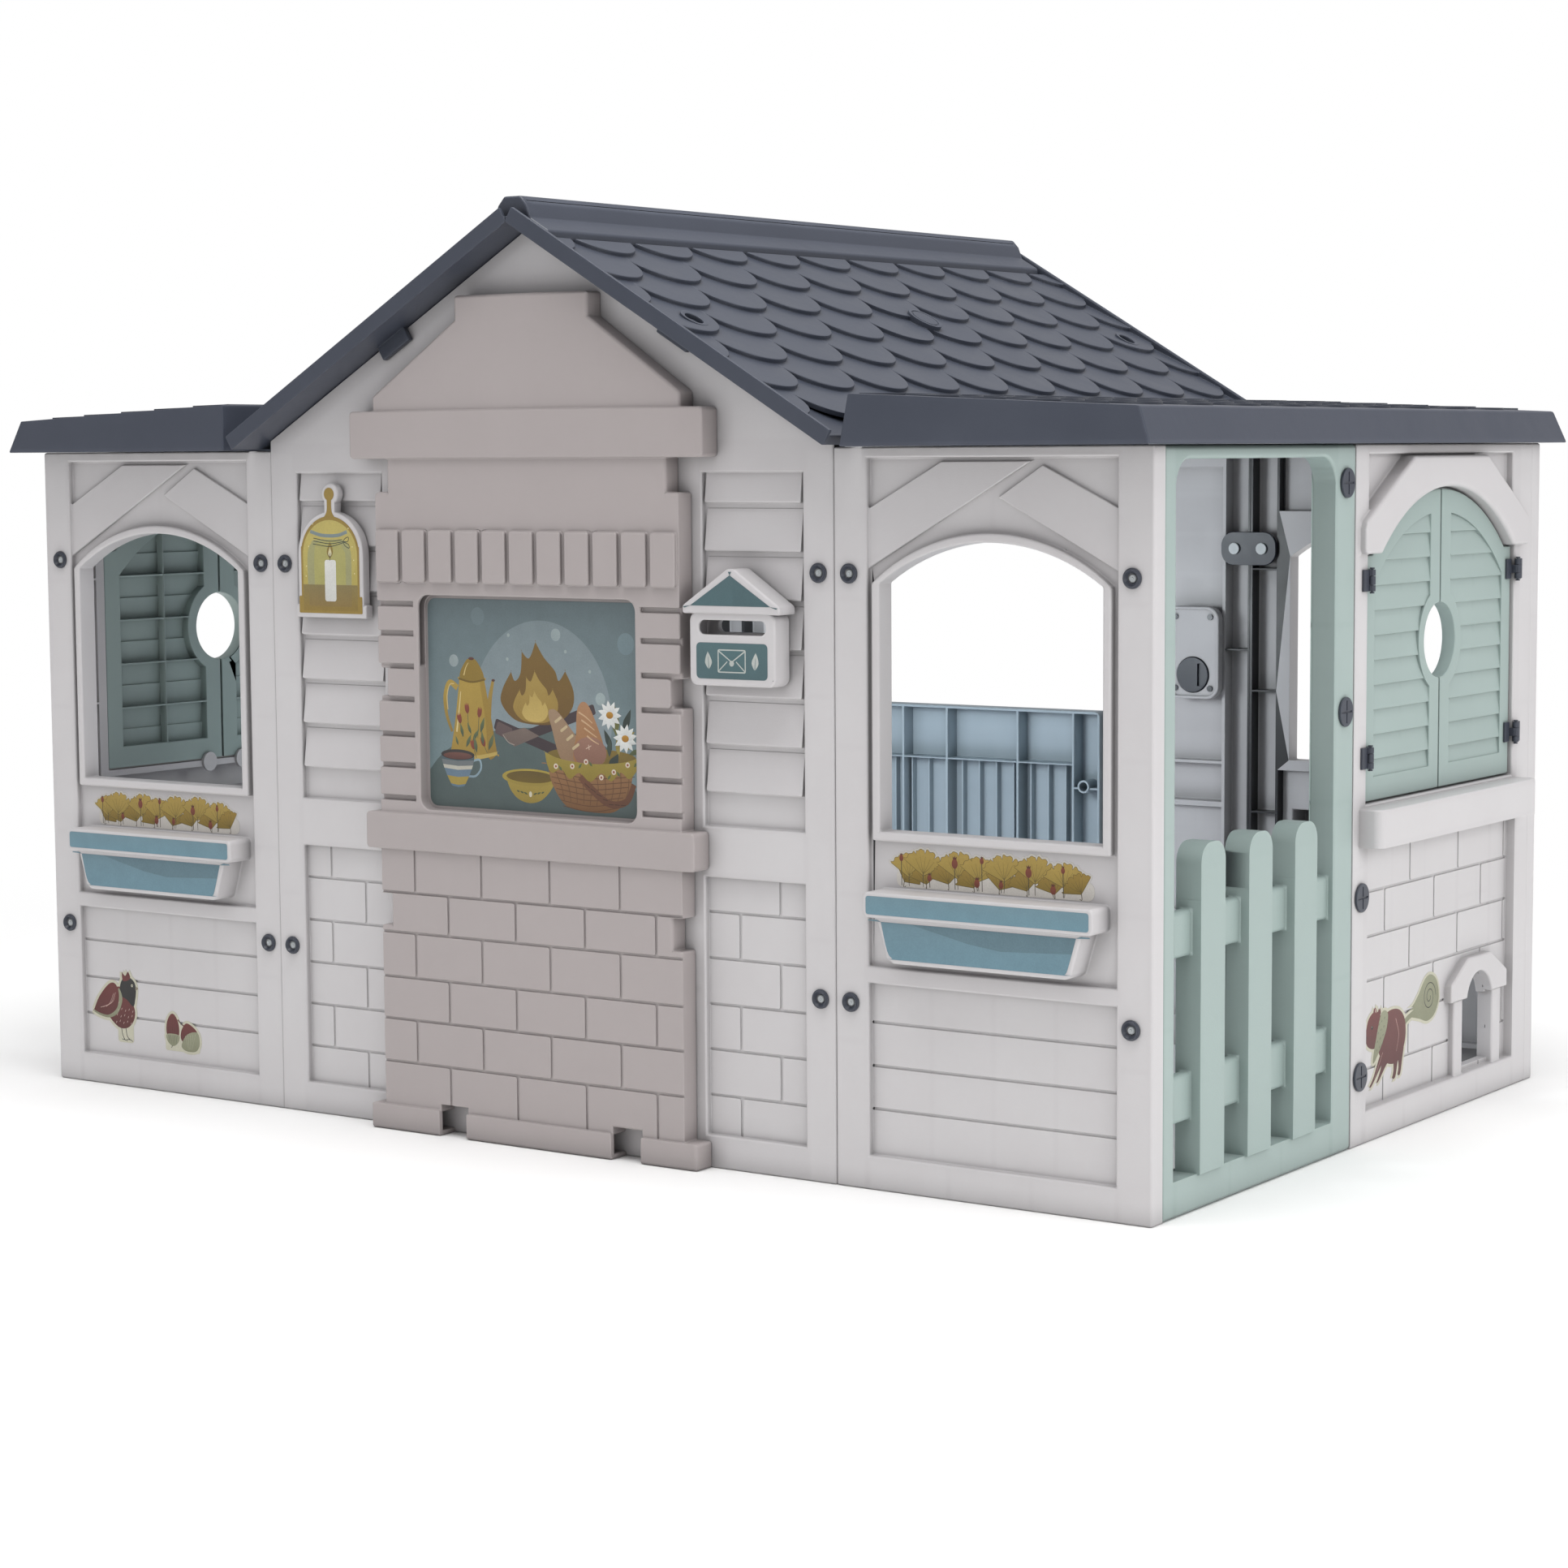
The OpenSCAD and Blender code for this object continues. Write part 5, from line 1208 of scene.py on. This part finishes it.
bird_film, bird_inks = bird_label()
acorn_film, acorn_inks = acorn_label()
squirrel_film, squirrel_inks = squirrel_label()
print_label("bird_sticker", [front_sheet("bird_sticker", bird_film, (CREAM, CREAM), bird_inks,
                                         -HALF_LENGTH)])
print_label("acorn_sticker", [front_sheet("acorn_sticker", acorn_film, (CREAM, CREAM), acorn_inks,
                                          -HALF_LENGTH)])
squirrel_low, squirrel_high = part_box("squirrel_sticker")
squirrel_origin = Vector((squirrel_high.x - LABEL_BODY + FILM, squirrel_low.y - 60 * MM, 0))
print_label("squirrel_sticker", [(squirrel_film, (CREAM, CREAM), squirrel_inks, squirrel_origin,
                                  (0, 1, 0))])

# %% [markdown]
# ## Nuts and bolts
# Each wall seam is drawn together by white nylon bolts with dark flanged nuts. They are
# turned parts, so each is one half profile spun round its axis. The nut's mouth is a
# funnel, and the bolt's end stands a little below its rim with the nicks of its mould.

# %% Turned fasteners
def loose_parts(node):
    """The boxes of a node's separate solids."""
    bm = bmesh.new()
    bm.from_mesh(frame["nodes"][node].data)
    bmesh.ops.remove_doubles(bm, verts=bm.verts, dist=WELD)
    left, boxes = dict.fromkeys(bm.verts), []
    while left:
        queue, group = [left.popitem()[0]], []
        while queue:
            vert = queue.pop()
            group.append(vert.co.copy())
            for edge in vert.link_edges:
                other = edge.other_vert(vert)
                if other in left:
                    del left[other]
                    queue.append(other)
        places = np.array([co[:] for co in group])
        boxes.append((Vector(places.min(axis=0)), Vector(places.max(axis=0))))
    bm.free()
    return boxes


def spin_profile(bm, profile, place, steps=40):
    """Spins (radius, height) points in millimetres round the axis of a matrix."""
    verts = [bm.verts.new((radius * MM, 0, height * MM)) for radius, height in profile]
    edges = [bm.edges.new(pair) for pair in zip(verts, verts[1:])]
    bmesh.ops.spin(bm, geom=verts + edges, cent=(0, 0, 0), axis=(0, 0, 1), angle=2 * math.pi,
                   steps=steps, use_merge=True, use_duplicate=False)
    # Points that are done carry a tag, so the untagged ones are this fastener's own.
    bmesh.ops.remove_doubles(bm, verts=[v for v in bm.verts if not v.tag], dist=0.003 * MM)
    fresh = [v for v in bm.verts if not v.tag]
    bmesh.ops.recalc_face_normals(bm, faces=list({face for v in fresh for face in v.link_faces}))
    bmesh.ops.transform(bm, matrix=place, verts=fresh)
    for v in fresh:
        v.tag = True


def rounded_profile(corners, steps=4):
    """Replaces each (radius, height, rounding) corner of a half profile by a small arc."""
    rows = []
    for i, (radius, height, rounding) in enumerate(corners):
        here = Vector((radius, height))
        if rounding == 0 or i in (0, len(corners) - 1):
            rows.append(here[:])
            continue
        before = (Vector(corners[i - 1][:2]) - here).normalized() * rounding + here
        after = (Vector(corners[i + 1][:2]) - here).normalized() * rounding + here
        for t in np.linspace(0, 1, steps + 1):
            rows.append((before.lerp(here, t).lerp(here.lerp(after, t), t))[:])
    return rows


NUT = [(5.2, 0.5, 0), (5.6, 0.6, 0.2), (7.7, 3.7, 0.5), (8.2, 4.45, 0.5), (9.4, 4.4, 0.7), (9.8, 2.3, 0.4),
       (10.9, 2.0, 0.5), (10.9, 0.4, 0)]
WIDE_HEAD = 12 * MM        # bolts wider than this have a head inside
BOLT_END = [(0.0, 1.35, 0), (1.1, 1.35, 0.2), (1.5, 0.75, 0.2), (3.1, 0.9, 0.3), (4.45, 0.1, 0.4)]


def outward_frame(low, high, out_plane):
    """A matrix whose local z points out of the wall at the wall's face."""
    side = -1 if (low.y + high.y) < 0 else 1
    turn = Vector((0, side, 0)).to_track_quat("Z", "Y").to_matrix().to_4x4()
    return Matrix.Translation(((low.x + high.x) / 2, side * out_plane, (low.z + high.z) / 2)) @ turn


def turned_piece(name, node, material, build):
    bm = bmesh.new()
    for low, high in loose_parts(node):
        build(bm, low, high)
    piece = new_piece(name, bm)
    piece.data.materials.append(material)
    even_shading(piece, 40)
    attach(piece, body_of_node[node])
    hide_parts(node)
    print(name, "faces", len(piece.data.polygons))


def add_nut(bm, low, high):
    place = outward_frame(low, high, HALF_DEPTH)
    spin_profile(bm, rounded_profile(NUT), place)


def add_bolt(bm, low, high):
    place = outward_frame(low, high, HALF_DEPTH)
    inner = (min(abs(low.y), abs(high.y)) - HALF_DEPTH) / MM
    head = [(7.8, inner + 2.6, 0.8), (7.8, inner + 0.05, 0.8), (0.0, inner + 0.05, 0)]
    wide = high.x - low.x > WIDE_HEAD
    tail = head if wide else [(4.45, inner + 0.1, 0.6), (0.0, inner + 0.1, 0)]
    neck = [(4.45, inner + 2.9, 0.3)] if wide else []
    spin_profile(bm, rounded_profile(BOLT_END + neck + tail), place, 28)


turned_piece("wall_nuts_turned", "wall_nuts", hinge_black, add_nut)
turned_piece("wall_bolts_turned", "wall_bolts", bolt_white, add_bolt)


# %% [markdown]
# ## Stage and light
# The house stands on a white studio floor that runs on without an end. Far from the house
# the floor's finish turns into plain white light, so no horizon shows. A broad soft lamp
# overhead lights the roof and the tops of ledges, a weaker one from the right lights the
# end wall, and a small cool lamp under the roof stands for light bounced round inside.

# %% Stage
def stage_floor():
    bm = bmesh.new()
    bmesh.ops.create_grid(bm, x_segments=1, y_segments=1, size=30.0)
    floor = new_piece("floor", bm)
    material, tree = new_material("pale_studio_floor")
    where = add_node(tree, "ShaderNodeTexCoord").outputs["Object"]
    away = add_node(tree, "ShaderNodeVectorMath", {0: where}, operation="LENGTH")
    far = add_node(tree, "ShaderNodeMapRange",
                   {"Value": away.outputs["Value"], "From Min": 1.1, "From Max": 2.6},
                   interpolation_type="SMOOTHSTEP")
    near = add_node(tree, "ShaderNodeBsdfDiffuse", {"Color": linear("#fbfbfa")})
    white = add_node(tree, "ShaderNodeEmission", {"Color": linear("#ffffff"), "Strength": 1.0})
    ray = add_node(tree, "ShaderNodeLightPath")
    seen = add_node(tree, "ShaderNodeMath", {0: far.outputs[0], 1: ray.outputs["Is Camera Ray"]},
                    operation="MULTIPLY")
    mixed = add_node(tree, "ShaderNodeMixShader",
                     {0: seen.outputs[0], 1: near.outputs[0], 2: white.outputs[0]})
    add_node(tree, "ShaderNodeOutputMaterial", {"Surface": mixed.outputs[0]})
    floor.data.materials.append(material)


def soft_light(name, location, target, size, power, colour="#ffffff"):
    data = bpy.data.lights.new(name, "AREA")
    data.shape = "DISK"
    data.size = size
    data.energy = power
    data.color = linear(colour)[:3]
    light = bpy.data.objects.new(name, data)
    aim = (Vector(target) - Vector(location)).to_track_quat("-Z", "Y")
    light.matrix_world = Matrix.Translation(location) @ aim.to_matrix().to_4x4()
    light.visible_camera = False
    bpy.context.scene.collection.objects.link(light)


stage_floor()
world = bpy.data.worlds.new("studio")
bpy.context.scene.world = world
world.use_nodes = True
world.node_tree.nodes.clear()
tree = world.node_tree
lit_by = add_node(tree, "ShaderNodeBackground", {"Color": linear("#f7f6f8"), "Strength": 0.52})
seen_as = add_node(tree, "ShaderNodeBackground", {"Color": linear("#ffffff"), "Strength": 1.0})
ray = add_node(tree, "ShaderNodeLightPath")
either = add_node(tree, "ShaderNodeMixShader",
                  {0: ray.outputs["Is Camera Ray"], 1: lit_by.outputs[0], 2: seen_as.outputs[0]})
add_node(tree, "ShaderNodeOutputWorld", {"Surface": either.outputs[0]})
soft_light("overhead", (0.5, -0.8, 5.5), (0.0, 0.0, 0.3), 5.0, 270)
soft_light("key", (5.0, -0.9, 2.2), (0.3, 0.0, 0.5), 2.5, 62)
soft_light("bounced_inside", (-0.05, -0.28, 0.62), (-0.1, 0.5, 0.35), 0.34, 4.0, "#e6eef2")
soft_light("bounced_on_floor", (0.0, 0.0, 0.10), (0.0, 0.2, 1.0), 0.6, 1.0, "#dcdff2")
bpy.context.scene.view_settings.view_transform = "Standard"
